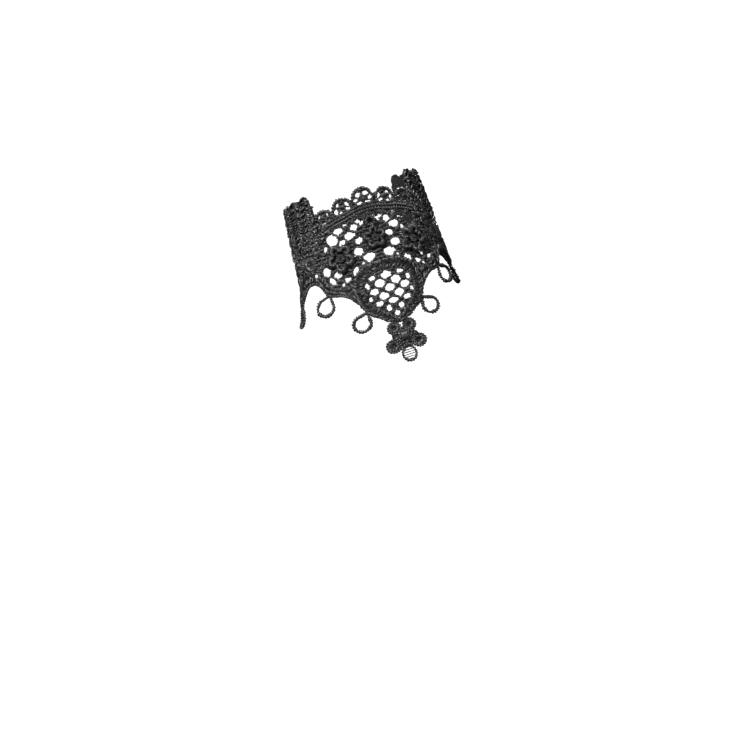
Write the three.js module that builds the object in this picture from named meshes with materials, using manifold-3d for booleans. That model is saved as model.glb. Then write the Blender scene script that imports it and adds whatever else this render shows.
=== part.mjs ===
/*
 * A black guipure lace cuff, closed round a wrist that is left empty.
 *
 * Millimetres. +Z runs along the wrist towards the elbow, the pointed front panel faces -Y, and the
 * origin lies on the wrist's middle line, level with the foot of the middle rosette.
 *
 * The lace is drawn on a flat chart and bent round the wrist: `along` runs round the cuff from the
 * middle of the front, to the right as one looks at it, `up` runs along the wrist, and `out` is the
 * distance from the skin. The chart counts in stitches, so that it stretches with the named sizes.
 */
import * as THREE from 'three';
import { mergeVertices } from 'three/addons/utils/BufferGeometryUtils.js';
import Module from 'manifold-3d';

// The wrist, measured to the outer face of the palmettes, at the origin's height.
const HALF_WIDTH = 29.3;
const HALF_DEPTH = 21.7;
// Half width that the wrist loses for each millimetre towards the elbow.
const WRIST_TAPER = 0.078;
// How far the hand spreads, per millimetre below the flare line, at each side of the cuff.
const THUMB_SIDE_SPREAD = 0.26;
const OUTER_SIDE_SPREAD = 0.08;
const SPREAD_LINE = 8;

// Height of the middle scallop above the origin, and fall of the pendant's tip below it.
const HEAD_HEIGHT = 23.8;
const POINT_FALL = 46.5;

// Thickness of each kind of work, and how far each lies off the skin.
const PALMETTE_WALL = 2.0;
const NET_WALL = 1.2;
const NET_LIFT = 0.3;
const BORDER_WALL = 1.8;
const ROSETTE_RISE = 0.8;
const PENDANT_WEB = 1.0;
const CLASP_WALL = 1.6;

// Cords.
const HEADING_CORD = 1.6;
const HEADING_SPREAD = 1.44;
const SCALLOP_CORD = 1.5;
const EDGE_CORD = 1.4;
const PICOT_CORD = 1.15;
const PETAL_CORD = 1.1;
const EYELET_CORD = 1.1;

// Clearance between neighbouring pieces.
const GAP = 0.3;

// Facets.
const CORD_SIDES = 6;
const HOLE_CORNERS = 8;
const SMALL_HOLE_CORNERS = 6;
const SMALL_HOLE = 2.7;

// The chart's size in stitches: all round, up to the middle scallop, and down to the tip.
const STITCHES_ROUND = 161;
const STITCHES_UP = 23.8;
const STITCHES_DOWN = 46.5;

// Places on the chart, in stitches.
const PALMETTE_AXIS = 40.25;
const BACK_CENTRE = 80.5;

// The line midway between the two heading cords.
const HEADING_LINE = [
  { along: 0, up: 14.7 },
  { along: 5, up: 14.35 },
  { along: 10, up: 13.2 },
  { along: 15, up: 12.2 },
  { along: 19, up: 10.8 },
  { along: 22.5, up: 9.4 },
];

// Scallops, from the middle outwards: middle, half span, foot and top of each arch.
const SCALLOPS = [
  { middle: 0, half: 4.9, foot: 18.6, top: 23.8 },
  { middle: 9.3, half: 4.4, foot: 17.2, top: 21.7 },
  { middle: 17.9, half: 4.2, foot: 15.4, top: 19.3 },
];

// Gaps between the wheels' spokes, right half; the left half mirrors them.
const SCALLOP_GAPS = [
  { along: 1.8, up: 20.7, width: 2.6, height: 1.5, lean: -20 },
  { along: 3.2, up: 18.9, width: 2.0, height: 1.8, lean: 0 },
  { along: 1.8, up: 17.4, width: 2.6, height: 0.9, lean: 0 },
  { along: 6.6, up: 18.8, width: 2.4, height: 2.1, lean: 25 },
  { along: 7.2, up: 16.8, width: 2.2, height: 1.0, lean: 0 },
  { along: 11.0, up: 19.0, width: 1.6, height: 1.2, lean: -30 },
  { along: 12.2, up: 16.6, width: 1.8, height: 2.2, lean: 0 },
  { along: 10.2, up: 15.9, width: 1.6, height: 0.9, lean: 0 },
  { along: 15.6, up: 17.0, width: 1.6, height: 1.7, lean: 0 },
  { along: 15.9, up: 15.1, width: 1.5, height: 1.1, lean: 0 },
  { along: 18.4, up: 14.1, width: 2.2, height: 1.1, lean: 0 },
  { along: 19.6, up: 16.4, width: 1.3, height: 1.5, lean: 0 },
];

// Gaps in the ground net, right half; the left half mirrors them.
const NET_GAPS = [
  { along: 16.9, up: 6.7, width: 4.7, height: 4.3, lean: -8 },
  { along: 13.6, up: 9.3, width: 4.0, height: 2.5, lean: -8 },
  { along: 7.0, up: 9.1, width: 2.9, height: 2.6, lean: -25 },
  { along: 9.4, up: 6.6, width: 4.6, height: 2.8, lean: -6 },
  { along: 13.0, up: 4.6, width: 3.2, height: 1.7, lean: -30 },
  { along: 6.4, up: 3.7, width: 3.4, height: 2.2, lean: -20 },
  { along: 7.7, up: -0.3, width: 4.0, height: 3.0, lean: 0 },
  { along: 4.2, up: -3.4, width: 5.0, height: 3.3, lean: -12 },
  { along: 10.3, up: 11.0, width: 1.9, height: 0.9, lean: 15 },
  { along: 20.5, up: 4.0, width: 1.5, height: 2.4, lean: 15 },
  { along: 22.3, up: -4.6, width: 3.4, height: 3.3, lean: 30 },
  { along: 17.8, up: -6.6, width: 3.2, height: 2.9, lean: -15 },
  { along: 20.7, up: -8.6, width: 1.9, height: 3.4, lean: -38 },
  { along: 10.7, up: -7.4, width: 2.3, height: 3.4, lean: 38 },
  { along: 14.6, up: -9.6, width: 2.3, height: 1.7, lean: 0 },
  { along: 16.6, up: -11.0, width: 1.7, height: 1.1, lean: -25 },
  { along: 6.9, up: -5.0, width: 1.8, height: 0.9, lean: -30 },
];

// The two pointed gaps beside the stem loop: corners of the right one.
const STEM_GAP = [
  { along: 0.7, up: 12.6 },
  { along: 6.6, up: 11.9 },
  { along: 5.2, up: 10.5 },
  { along: 4.0, up: 9.3 },
  { along: 3.2, up: 9.2 },
  { along: 2.7, up: 10.9 },
  { along: 1.6, up: 12.0 },
];

// Gaps of the fan: rows of the diagonal net, each with its height and its gaps' middles.
const FAN_ROWS = [
  { up: -11.6, gaps: [{ along: 0, width: 4.0, height: 2.8 }, { along: 5.7, width: 2.8, height: 1.8 }] },
  { up: -14.3, gaps: [{ along: 3.1, width: 3.7, height: 3.2 }, { along: 8.1, width: 1.7, height: 2.3 }] },
  { up: -16.8, gaps: [{ along: 0, width: 4.0, height: 2.8 }, { along: 6.0, width: 3.7, height: 2.5 }] },
  { up: -19.3, gaps: [{ along: 3.0, width: 3.6, height: 2.8 }, { along: 8.1, width: 1.2, height: 2.0 }] },
  { up: -21.8, gaps: [{ along: 0, width: 3.9, height: 2.3 }, { along: 5.4, width: 2.9, height: 1.9 }] },
  { up: -24.3, gaps: [{ along: 2.4, width: 2.1, height: 2.3 }] },
  { up: -26.9, gaps: [{ along: 0, width: 2.0, height: 2.2 }] },
];

// Right half of the fan's inner outline, from the top down.
const FAN_OUTLINE = [
  { along: 0, up: -9.5 },
  { along: 3.6, up: -10.0 },
  { along: 7.0, up: -11.4 },
  { along: 9.2, up: -13.8 },
  { along: 9.5, up: -16.6 },
  { along: 9.0, up: -19.6 },
  { along: 7.4, up: -22.4 },
  { along: 4.6, up: -24.9 },
  { along: 2.2, up: -27.1 },
  { along: 0, up: -29.2 },
];

// Right half of the outline of the border round the fan, from the top down.
const FAN_BORDER_OUTLINE = [
  { along: 0, up: -5.3 },
  { along: 4.9, up: -5.6 },
  { along: 9.4, up: -7.0 },
  { along: 12.1, up: -9.8 },
  { along: 13.2, up: -13.2 },
  { along: 13.4, up: -16.6 },
  { along: 13.1, up: -20.0 },
  { along: 12.0, up: -22.0 },
  { along: 10.8, up: -24.0 },
  { along: 9.3, up: -25.9 },
  { along: 7.5, up: -26.9 },
  { along: 5.9, up: -28.0 },
  { along: 4.9, up: -29.1 },
  { along: 2.6, up: -29.6 },
  { along: 0, up: -31.0 },
];

// The lower border from the fan's border to behind the palmette: its edges at each section.
const BORDER_SECTIONS = [
  { along: 13.75, low: -19.2, high: -12.7 },
  { along: 15.0, low: -17.7, high: -12.8 },
  { along: 16.6, low: -16.4, high: -12.9 },
  { along: 18.6, low: -15.4, high: -12.2 },
  { along: 20.4, low: -15.0, high: -11.6 },
  { along: 22.1, low: -14.7, high: -10.4 },
  { along: 23.4, low: -14.3, high: -8.6 },
  { along: 24.4, low: -13.3, high: -7.3 },
  { along: 25.35, low: -11.3, high: -6.6 },
  { along: 25.75, low: -10.7, high: -3.2 },
  { along: 27.1, low: -9.1, high: -3.2 },
  { along: 29.0, low: -8.1, high: -3.2 },
  { along: 31.0, low: -7.9, high: -3.2 },
  { along: 33.2, low: -8.3, high: -3.2 },
  { along: 35.2, low: -9.5, high: -3.2 },
  { along: 37.0, low: -11.3, high: -3.2 },
  { along: 38.7, low: -13.5, high: -3.2 },
  { along: 39.6, low: -14.6, high: -3.2 },
  { along: 40.9, low: -14.6, high: -3.2 },
  { along: 41.8, low: -13.5, high: -3.2 },
  { along: 43.5, low: -11.3, high: -3.2 },
  { along: 45.3, low: -9.5, high: -3.2 },
  { along: 47.3, low: -8.3, high: -3.2 },
  { along: 49.5, low: -7.9, high: -3.2 },
  { along: 52.2, low: -7.9, high: -3.2 },
  { along: 54.75, low: -7.9, high: -3.2 },
];

// Gaps between the lower border and the palmette's foot.
const BORDER_GAPS = [
  { along: 27.4, up: -4.7, width: 2.0, height: 1.2, lean: 0 },
  { along: 30.9, up: -4.6, width: 1.6, height: 1.0, lean: 0 },
];

// Half of a palmette, from its axis outwards: edges, and thickness as a share of the full wall.
const PALMETTE_SECTIONS = [
  { from_axis: 0, low: -2.9, high: 24.5, ridge: 1.0 },
  { from_axis: 2.8, low: -2.9, high: 24.3, ridge: 0.95 },
  { from_axis: 5.6, low: -2.9, high: 23.5, ridge: 0.66 },
  { from_axis: 7.3, low: -2.9, high: 24.9, ridge: 0.9 },
  { from_axis: 9.1, low: -2.9, high: 25.4, ridge: 1.0 },
  { from_axis: 10.9, low: -2.9, high: 25.1, ridge: 0.9 },
  { from_axis: 12.4, low: -2.9, high: 24.5, ridge: 0.66 },
  { from_axis: 13.8, low: -2.9, high: 25.6, ridge: 0.88 },
  { from_axis: 15.1, low: -2.9, high: 26.0, ridge: 0.95 },
  { from_axis: 15.6, low: 2.8, high: 25.9, ridge: 0.92 },
  { from_axis: 16.8, low: 4.2, high: 25.0, ridge: 0.86 },
  { from_axis: 17.8, low: 5.2, high: 22.3, ridge: 0.82 },
  { from_axis: 18.7, low: 6.0, high: 17.6, ridge: 0.76 },
  { from_axis: 19.7, low: 6.8, high: 13.8, ridge: 0.7 },
  { from_axis: 20.6, low: 7.8, high: 10.6, ridge: 0.66 },
];

// Sections of the plain band behind, from the palmette's far edge to the clasp.
const BACK_SECTIONS = [
  { along: 58.4, low: 13.2, high: 19.6 },
  { along: 59.6, low: 10.6, high: 18.4 },
  { along: 61.0, low: 9.0, high: 17.4 },
  { along: 62.4, low: 10.6, high: 17.0 },
  { along: 64.2, low: 12.3, high: 17.0 },
  { along: 67.0, low: 12.8, high: 17.0 },
  { along: 70.0, low: 12.8, high: 17.0 },
  { along: 73.2, low: 12.8, high: 17.0 },
  { along: 76.8, low: 12.8, high: 17.0 },
];

// Gaps of the plain band behind, right half; the left half mirrors them.
const BACK_GAPS = [
  { along: 62.2, up: 13.5, width: 1.8, height: 2.4, lean: 0 },
  { along: 66.2, up: 14.9, width: 2.6, height: 1.4, lean: 0 },
  { along: 70.2, up: 14.9, width: 2.6, height: 1.4, lean: 0 },
  { along: 74.2, up: 14.9, width: 2.4, height: 1.4, lean: 0 },
];

// Picot loops: where each is rooted, its middle, and its size over the cord.
const FAN_PICOT = { root: [10.7, -23.6], middle: [13.6, -27.4], width: 7.9, height: 7.1 };
const BORDER_PICOT = { root: [23.4, -13.3], middle: [26.3, -17.4], width: 8.3, height: 7.5 };
const POINT_PICOT = { root: [40.25, -13.6], middle: [40.25, -18.6], width: 6.4, height: 7.4 };

// The pendant's petals: middle and size over the cord; the first two come in pairs.
const PETALS = [
  { along: 2.9, up: -32.4, width: 5.8, height: 5.8 },
  { along: 4.7, up: -39.1, width: 6.3, height: 6.0 },
  { along: 0, up: -43.1, width: 5.9, height: 6.8 },
];
const PENDANT_CORE = [
  { along: 0, up: -32.6 },
  { along: 3.6, up: -34.0 },
  { along: 4.7, up: -35.8 },
  { along: 3.4, up: -39.4 },
  { along: 1.4, up: -41.0 },
];
const PENDANT_SLITS = [
  { along: 0, up: -42.3, width: 3.2, height: 0.9, lean: 0 },
  { along: 0, up: -44.1, width: 2.8, height: 0.8, lean: 0 },
];

// Rosettes: middle, reach of the petals from it, and the turn of the first petal in degrees.
const ROSETTES = [
  { name: 'rosette_middle', along: 0, up: 3.4, reach: 4.7, turn: 90 },
  { name: 'rosette_right', along: 15.1, up: -0.9, reach: 5.2, turn: 72 },
  { name: 'rosette_left', along: -15.1, up: -0.9, reach: 5.2, turn: 108 },
];
const STEM_LOOP = { along: 0, up: 9.7, width: 4.4, height: 4.6 };

const wasm = await Module();
wasm.setup();

const wristLine = new THREE.EllipseCurve(0, 0, HALF_WIDTH, HALF_DEPTH, -Math.PI / 2, 1.5 * Math.PI);
wristLine.arcLengthDivisions = 1440;
const GIRTH = wristLine.getLength();
const ACROSS = GIRTH / STITCHES_ROUND;
const UPWARD = HEAD_HEIGHT / STITCHES_UP;
const DOWNWARD = POINT_FALL / STITCHES_DOWN;

/** Chart place in stitches to millimetres along the cuff and along the wrist. */
function chart(along, up) {
  return new THREE.Vector2(along * ACROSS, up * (up > 0 ? UPWARD : DOWNWARD));
}

/** The point at `x` along the cuff, `y` along the wrist and `out` from the skin. */
function bendPoint(x, y, out) {
  const turn = x / GIRTH;
  const foot = wristLine.getPointAt(turn - Math.floor(turn));
  const taper = 1 - (WRIST_TAPER * y) / HALF_WIDTH;
  const away = new THREE.Vector2(foot.x / HALF_WIDTH ** 2, foot.y / HALF_DEPTH ** 2).normalize();
  const side = Math.abs(foot.x) / HALF_WIDTH;
  const spread = foot.x < 0 ? THUMB_SIDE_SPREAD : OUTER_SIDE_SPREAD;
  const below = Math.max(0, -SPREAD_LINE * DOWNWARD - y);
  const lift = out - PALMETTE_WALL + spread * below * side ** 8;
  return new THREE.Vector3(foot.x * taper + away.x * lift, foot.y * taper + away.y * lift, y);
}

/** Bends a flat geometry (x along, y up, z out of the skin) round the wrist. */
function bend(geometry) {
  const place = geometry.attributes.position;
  for (let i = 0; i < place.count; i += 1) {
    const bent = bendPoint(place.getX(i), place.getY(i), place.getZ(i));
    place.setXYZ(i, bent.x, bent.y, bent.z);
  }
  return geometry;
}

/** A closed geometry as a solid that can be joined and cut. */
function solid(geometry) {
  const bare = geometry.clone();
  bare.deleteAttribute('normal');
  bare.deleteAttribute('uv');
  const welded = mergeVertices(bare, 1e-4);
  return new wasm.Manifold(new wasm.Mesh({
    numProp: 3,
    vertProperties: new Float32Array(welded.attributes.position.array),
    triVerts: new Uint32Array(welded.index.array),
  }));
}

/** A wall of the lace from its upright sections, with `profile` across its height. */
function wall(sections, skin, thickness, profile = [1, 1]) {
  const rows = profile.length - 1;
  const columns = sections.length - 1;
  const box = new THREE.BoxGeometry(1, 1, 1, columns, rows, 1);
  const place = box.attributes.position;
  for (let i = 0; i < place.count; i += 1) {
    const section = sections[Math.round((place.getX(i) + 0.5) * columns)];
    const row = Math.round((place.getY(i) + 0.5) * rows);
    const low = chart(section.along, section.low);
    const high = chart(section.along, section.high);
    const share = profile[row] * (section.ridge ?? 1);
    place.setXYZ(
      i,
      low.x + (section.shift ?? 0),
      THREE.MathUtils.lerp(low.y, high.y, row / rows),
      place.getZ(i) < 0 ? skin : skin + thickness * share,
    );
  }
  return solid(box);
}

/** Mirrors a piece's chart rows to the left half of the cuff. */
function leftward(rows) {
  return rows.map((row) => ({ ...row, along: -row.along, lean: -(row.lean ?? 0) })).reverse();
}

/** Points on the chart as an outline, moved outwards by `distance` millimetres. */
function grown(outline, distance) {
  const turning = Math.sign(THREE.ShapeUtils.area(outline));
  return outline.map((point, i) => {
    const before = outline.at(i - 1);
    const after = outline[(i + 1) % outline.length];
    const ahead = after.clone().sub(before).normalize().multiplyScalar(distance * turning);
    return new THREE.Vector2(point.x + ahead.y, point.y - ahead.x);
  });
}

/** A prism through the lace, from `skin` to `face`, over an outline on the flat chart. */
function prism(outline, skin, face) {
  const block = new THREE.ExtrudeGeometry(new THREE.Shape(outline), {
    depth: face - skin,
    bevelEnabled: false,
  });
  block.translate(0, 0, skin);
  return solid(block);
}

/** A prism that passes right through the lace, to cut with. */
function cutter(outline) {
  const reach = 3 * PALMETTE_WALL;
  return prism(outline, -reach, PALMETTE_WALL + reach);
}

/** The outline of a round gap or disc, with its corners turned to points left and right. */
function roundOutline(row, corners) {
  const turn = THREE.MathUtils.degToRad(row.lean ?? 0);
  const middle = chart(row.along, row.up);
  const upward = row.up > 0 ? UPWARD : DOWNWARD;
  return Array.from({ length: corners }, (_, i) => {
    const angle = (i / corners) * 2 * Math.PI;
    const spot = new THREE.Vector2(
      (Math.cos(angle) * row.width) / 2,
      (Math.sin(angle) * row.height) / 2,
    );
    spot.rotateAround(new THREE.Vector2(), turn);
    return new THREE.Vector2(middle.x + spot.x * ACROSS, middle.y + spot.y * upward);
  });
}

/** Cuts every gap of a table through a solid. */
function pierced(body, rows) {
  return rows.reduce((rest, row) => {
    const small = Math.min(row.width, row.height) < SMALL_HOLE;
    return rest.subtract(cutter(roundOutline(row, small ? SMALL_HOLE_CORNERS : HOLE_CORNERS)));
  }, body);
}

/** A cord of `thickness` along chart points given in millimetres, its middle `out` off the skin. */
function cord(points, thickness, out, steps) {
  const path = new THREE.CatmullRomCurve3(
    points.map((point) => new THREE.Vector3(point.x, point.y, out)),
  );
  const section = new THREE.Shape(
    Array.from({ length: CORD_SIDES }, (_, i) => {
      const angle = (i / CORD_SIDES) * 2 * Math.PI;
      return new THREE.Vector2(Math.cos(angle), Math.sin(angle)).multiplyScalar(thickness / 2);
    }),
  );
  return solid(new THREE.ExtrudeGeometry(section, {
    steps,
    extrudePath: path,
    bevelEnabled: false,
  }));
}

/** An oval ring of cord, its middle `out` off the skin. */
function ring(row, thickness, out, segments) {
  const middle = chart(row.along, row.up);
  const upward = row.up > 0 ? UPWARD : DOWNWARD;
  const across = (row.width * ACROSS - thickness) / 2;
  const tall = (row.height * upward - thickness) / 2;
  const torus = new THREE.TorusGeometry(1, 1, CORD_SIDES, segments);
  const place = torus.attributes.position;
  const around = torus.attributes.uv;
  for (let i = 0; i < place.count; i += 1) {
    const turn = around.getX(i) * 2 * Math.PI;
    const roll = around.getY(i) * 2 * Math.PI;
    const reach = (Math.cos(roll) * thickness) / 2;
    place.setXYZ(
      i,
      middle.x + Math.cos(turn) * (across + reach),
      middle.y + Math.sin(turn) * (tall + reach),
      out + (Math.sin(roll) * thickness) / 2,
    );
  }
  return solid(torus);
}

/** A picot: a teardrop loop of cord whose two ends sink into the border at its root. */
function picot(row, side) {
  const root = chart(side * row.root[0], row.root[1]);
  const middle = chart(side * row.middle[0], row.middle[1]);
  const across = (row.width * ACROSS - PICOT_CORD) / 2;
  const tall = (row.height * DOWNWARD - PICOT_CORD) / 2;
  const start = Math.atan2((root.y - middle.y) / tall, (root.x - middle.x) / across);
  const turns = [0.62, 1.2, 1.9, 2.6, 3.3, 3.9, 4.6, 5.2, 5.66];
  const loop = turns.map((turn) => new THREE.Vector2(
    middle.x + Math.cos(start + turn) * across,
    middle.y + Math.sin(start + turn) * tall,
  ));
  return cord([root, ...loop, root], PICOT_CORD, NET_LIFT + PICOT_CORD / 2, 16);
}

/** The right half of an outline and its mirror image, as one closed outline. */
function wholeOutline(rows, divisions) {
  const half = new THREE.SplineCurve(rows.map((row) => chart(row.along, row.up)))
    .getPoints(divisions);
  const other = half.slice(1, -1).reverse().map((point) => new THREE.Vector2(-point.x, point.y));
  return [...half, ...other];
}

/** The outline that keeps a neighbour clear of one end of a palmette. */
function palmetteEnd(side, end) {
  const rows = PALMETTE_SECTIONS.filter((row) => row.from_axis > 14);
  const inner = PALMETTE_SECTIONS.find((row) => row.from_axis > 12);
  const place = (row, up) => chart(side * (PALMETTE_AXIS + end * row.from_axis), up);
  const lower = rows.map((row) => place(row, row.low));
  const upper = rows.map((row) => place(row, row.high)).reverse();
  return grown([place(inner, inner.low), ...lower, ...upper, place(inner, inner.high + 2)], GAP);
}

/** Height of the heading's middle line at `along`, in millimetres. */
const headingLine = new THREE.SplineCurve(
  [...leftward(HEADING_LINE).slice(0, -1), ...HEADING_LINE].map((row) => chart(row.along, row.up)),
);

/** The heading's middle line moved up by `distance` millimetres, square to itself. */
function besideHeading(distance, divisions) {
  return Array.from({ length: divisions + 1 }, (_, i) => {
    const at = i / divisions;
    const ahead = headingLine.getTangent(at);
    const point = headingLine.getPoint(at);
    return new THREE.Vector2(point.x - ahead.y * distance, point.y + ahead.x * distance);
  });
}

/** The strip that the two heading cords and their clearance take up. */
function headingStrip() {
  const half = (HEADING_SPREAD + HEADING_CORD) / 2 + GAP;
  return cutter([...besideHeading(-half, 20), ...besideHeading(half, 20).reverse()]);
}

const netOut = NET_LIFT + NET_WALL;
const headingRoom = headingStrip();
const fanOutline = wholeOutline(FAN_OUTLINE, 12);
const fanBorderOutline = wholeOutline(FAN_BORDER_OUTLINE, 16);
const fanBorderRoom = cutter(grown(fanBorderOutline, GAP));
const palmetteRoom = [cutter(palmetteEnd(1, -1)), cutter(palmetteEnd(-1, -1))];

/** Upright sections every few stitches from left to right, between two edges. */
function sectionsBetween(reach, count, low, high) {
  return Array.from({ length: count + 1 }, (_, i) => {
    const along = THREE.MathUtils.lerp(-reach, reach, i / count);
    return { along, low: low(Math.abs(along)), high: high(Math.abs(along)) };
  });
}

/** Linear reading of a table between its rows. */
function reading(rows, key, value, field) {
  const next = rows.findIndex((row) => row[key] >= value);
  if (next <= 0) {
    return rows.at(next)[field];
  }
  const before = rows[next - 1];
  const share = (value - before[key]) / (rows[next][key] - before[key]);
  return THREE.MathUtils.lerp(before[field], rows[next][field], share);
}

const headingUp = (along) => reading(HEADING_LINE, 'along', along, 'up');
const borderHigh = (along) => reading(BORDER_SECTIONS, 'along', along, 'high');

function scallopEdging() {
  const rows = [];
  const top = (along) => Math.max(...SCALLOPS.map((scallop) => {
    const share = Math.min(1, Math.abs(along - scallop.middle) / scallop.half);
    return scallop.foot + (scallop.top - scallop.foot) * Math.sqrt(1 - share ** 2);
  }));
  const stops = [0, 1.6, 3, 4, 4.9, 5.6, 6.8, 8.2, 9.6, 11, 12.4, 13.3, 13.9, 14.7, 16, 17.5, 19, 20.5, 21.9];
  const half = stops.map((along) => ({ along, low: headingUp(along), high: top(along) - 0.3 }));
  rows.push(...leftward(half).slice(0, -1), ...half);
  let body = wall(rows, NET_LIFT, NET_WALL);
  body = pierced(body, [...SCALLOP_GAPS, ...leftward(SCALLOP_GAPS)]);
  for (const scallop of SCALLOPS) {
    const rise = scallop.top - scallop.foot;
    const arch = [-0.98, -0.86, -0.5, 0, 0.5, 0.86, 0.98].map((share) => chart(
      scallop.middle + share * (scallop.half - 0.3),
      scallop.foot - 0.8 + (rise + 0.1) * Math.sqrt(1 - share ** 2),
    ));
    const sides = scallop.middle > 0 ? [1, -1] : [1];
    for (const side of sides) {
      const points = arch.map((point) => new THREE.Vector2(side * point.x, point.y));
      body = body.add(cord(points, SCALLOP_CORD, NET_LIFT + SCALLOP_CORD / 2, 8));
    }
  }
  for (const room of [headingRoom, ...palmetteRoom]) {
    body = body.subtract(room);
  }
  return body;
}

function headingCord() {
  const out = NET_LIFT + HEADING_CORD / 2;
  const above = besideHeading(HEADING_SPREAD / 2, 16);
  const below = besideHeading(-HEADING_SPREAD / 2, 16);
  const web = prism([...below, ...above.slice().reverse()], NET_LIFT, out);
  const body = web.add(cord(above, HEADING_CORD, out, 16)).add(cord(below, HEADING_CORD, out, 16));
  return palmetteRoom.reduce((rest, room) => rest.subtract(room), body);
}

function frontNet() {
  const low = (along) => (along < BORDER_SECTIONS[0].along ? -13 : borderHigh(along));
  const side = BORDER_SECTIONS.find((row) => row.along > 25);
  const sections = sectionsBetween(side.along, 12, low, headingUp);
  let body = wall(sections, NET_LIFT, NET_WALL);
  const stem = STEM_GAP.map((row) => chart(row.along, row.up));
  const mirrored = stem.map((point) => new THREE.Vector2(-point.x, point.y));
  body = body.subtract(cutter(stem)).subtract(cutter(mirrored));
  body = pierced(body, [...NET_GAPS, ...leftward(NET_GAPS)]);
  const borderRoom = [1, -1].map((hand) => {
    const edge = BORDER_SECTIONS.filter((row) => row.along < 26)
      .map((row) => chart(hand * row.along, row.high));
    const deep = BORDER_SECTIONS.filter((row) => row.along < 26)
      .map((row) => chart(hand * row.along, row.low)).reverse();
    return cutter(grown([...edge, ...deep], GAP));
  });
  for (const room of [headingRoom, ...palmetteRoom, fanBorderRoom, ...borderRoom]) {
    body = body.subtract(room);
  }
  return body;
}

function fanNet() {
  const deep = FAN_OUTLINE.at(-1).up - 1;
  const wide = Math.max(...FAN_OUTLINE.map((row) => row.along)) + 0.5;
  const blank = wall(
    sectionsBetween(wide, 8, () => deep, () => FAN_OUTLINE[0].up + 1),
    NET_LIFT,
    NET_WALL,
  );
  const gaps = FAN_ROWS.flatMap((row) => row.gaps.flatMap((gap) => {
    const right = { ...gap, up: row.up, lean: 0 };
    return gap.along > 0 ? [right, { ...right, along: -gap.along }] : [right];
  }));
  return pierced(blank.intersect(cutter(grown(fanOutline, -GAP))), gaps);
}

function fanBorder() {
  const wide = Math.max(...FAN_BORDER_OUTLINE.map((row) => row.along)) + 0.5;
  const blank = wall(
    sectionsBetween(wide, 10, () => FAN_BORDER_OUTLINE.at(-1).up - 1, () => FAN_BORDER_OUTLINE[0].up + 1),
    NET_LIFT,
    BORDER_WALL - 2 * NET_LIFT,
  );
  let body = blank.intersect(cutter(fanBorderOutline)).subtract(cutter(fanOutline));
  const line = grown(fanBorderOutline, -EDGE_CORD / 2).slice(0, 16);
  for (const side of [1, -1]) {
    const points = line.map((point) => new THREE.Vector2(side * point.x, point.y));
    points[0].x = -side * EDGE_CORD / 2;
    body = body.add(cord(points, EDGE_CORD, BORDER_WALL / 2, 14));
    body = body.add(picot(FAN_PICOT, side));
  }
  return body;
}

function lowerBorder(side) {
  const rows = side > 0 ? BORDER_SECTIONS : leftward(BORDER_SECTIONS);
  const gaps = side > 0 ? BORDER_GAPS : leftward(BORDER_GAPS);
  let body = wall(rows, NET_LIFT, BORDER_WALL, [0.7, 1, 0.6, 0.95, 0.65]);
  body = pierced(body, gaps);
  body = body.add(picot(BORDER_PICOT, side)).add(picot(POINT_PICOT, side));
  return body.subtract(fanBorderRoom);
}

function palmette(side) {
  const half = PALMETTE_SECTIONS.map((row) => ({ ...row, along: PALMETTE_AXIS + row.from_axis }));
  const other = PALMETTE_SECTIONS.slice(1)
    .map((row) => ({ ...row, along: PALMETTE_AXIS - row.from_axis }))
    .reverse();
  const rows = [...other, ...half];
  return wall(side > 0 ? rows : leftward(rows), 0, PALMETTE_WALL, [0.8, 1, 0.8]);
}

function pendant() {
  const core = wholeOutline(PENDANT_CORE, 8);
  let body = prism(core, NET_LIFT, NET_LIFT + PENDANT_WEB + 0.3);
  for (const petal of PETALS) {
    const sides = petal.along > 0 ? [1, -1] : [1];
    for (const side of sides) {
      const row = { ...petal, along: side * petal.along };
      body = body.add(ring(row, PETAL_CORD, NET_LIFT + PETAL_CORD / 2, 12));
      body = body.add(prism(
        grown(roundOutline(row, 8), -PETAL_CORD / 2),
        NET_LIFT,
        NET_LIFT + PENDANT_WEB / 2,
      ));
    }
  }
  return pierced(body, PENDANT_SLITS).subtract(fanBorderRoom);
}

function rosette(row) {
  const skin = netOut + GAP;
  const upward = row.up > 0 ? UPWARD : DOWNWARD;
  let body = prism(
    roundOutline({ ...row, width: row.reach * 0.8, height: row.reach * 0.8 }, 8),
    skin,
    skin + ROSETTE_RISE,
  );
  for (let i = 0; i < 5; i += 1) {
    const angle = row.turn + i * 72;
    const turn = THREE.MathUtils.degToRad(angle);
    const petal = {
      along: row.along + Math.cos(turn) * row.reach * 0.62,
      up: row.up + Math.sin(turn) * row.reach * 0.62 / (upward / ACROSS),
      width: row.reach * 0.78,
      height: row.reach * 0.62,
      lean: angle,
    };
    body = body.add(prism(roundOutline(petal, 8), skin, skin + ROSETTE_RISE));
  }
  if (row.along === 0) {
    body = body.add(ring(STEM_LOOP, EYELET_CORD, skin + EYELET_CORD / 2, 12));
  }
  return body;
}

function backBand(side) {
  const rows = side > 0 ? BACK_SECTIONS : leftward(BACK_SECTIONS);
  const gaps = side > 0 ? BACK_GAPS : leftward(BACK_GAPS);
  let body = pierced(wall(rows, NET_LIFT, NET_WALL), gaps);
  for (const edge of ['low', 'high']) {
    const inward = edge === 'low' ? 1 : -1;
    const points = BACK_SECTIONS.slice(1).map((row) => {
      const point = chart(side * row.along, row[edge]);
      return new THREE.Vector2(point.x, point.y + (inward * EDGE_CORD) / 2);
    });
    points.at(-1).x -= side * 0.2;
    body = body.add(cord(points, EDGE_CORD, NET_LIFT + EDGE_CORD / 2, 12));
  }
  return body.subtract(cutter(palmetteEnd(side, 1)));
}

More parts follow.
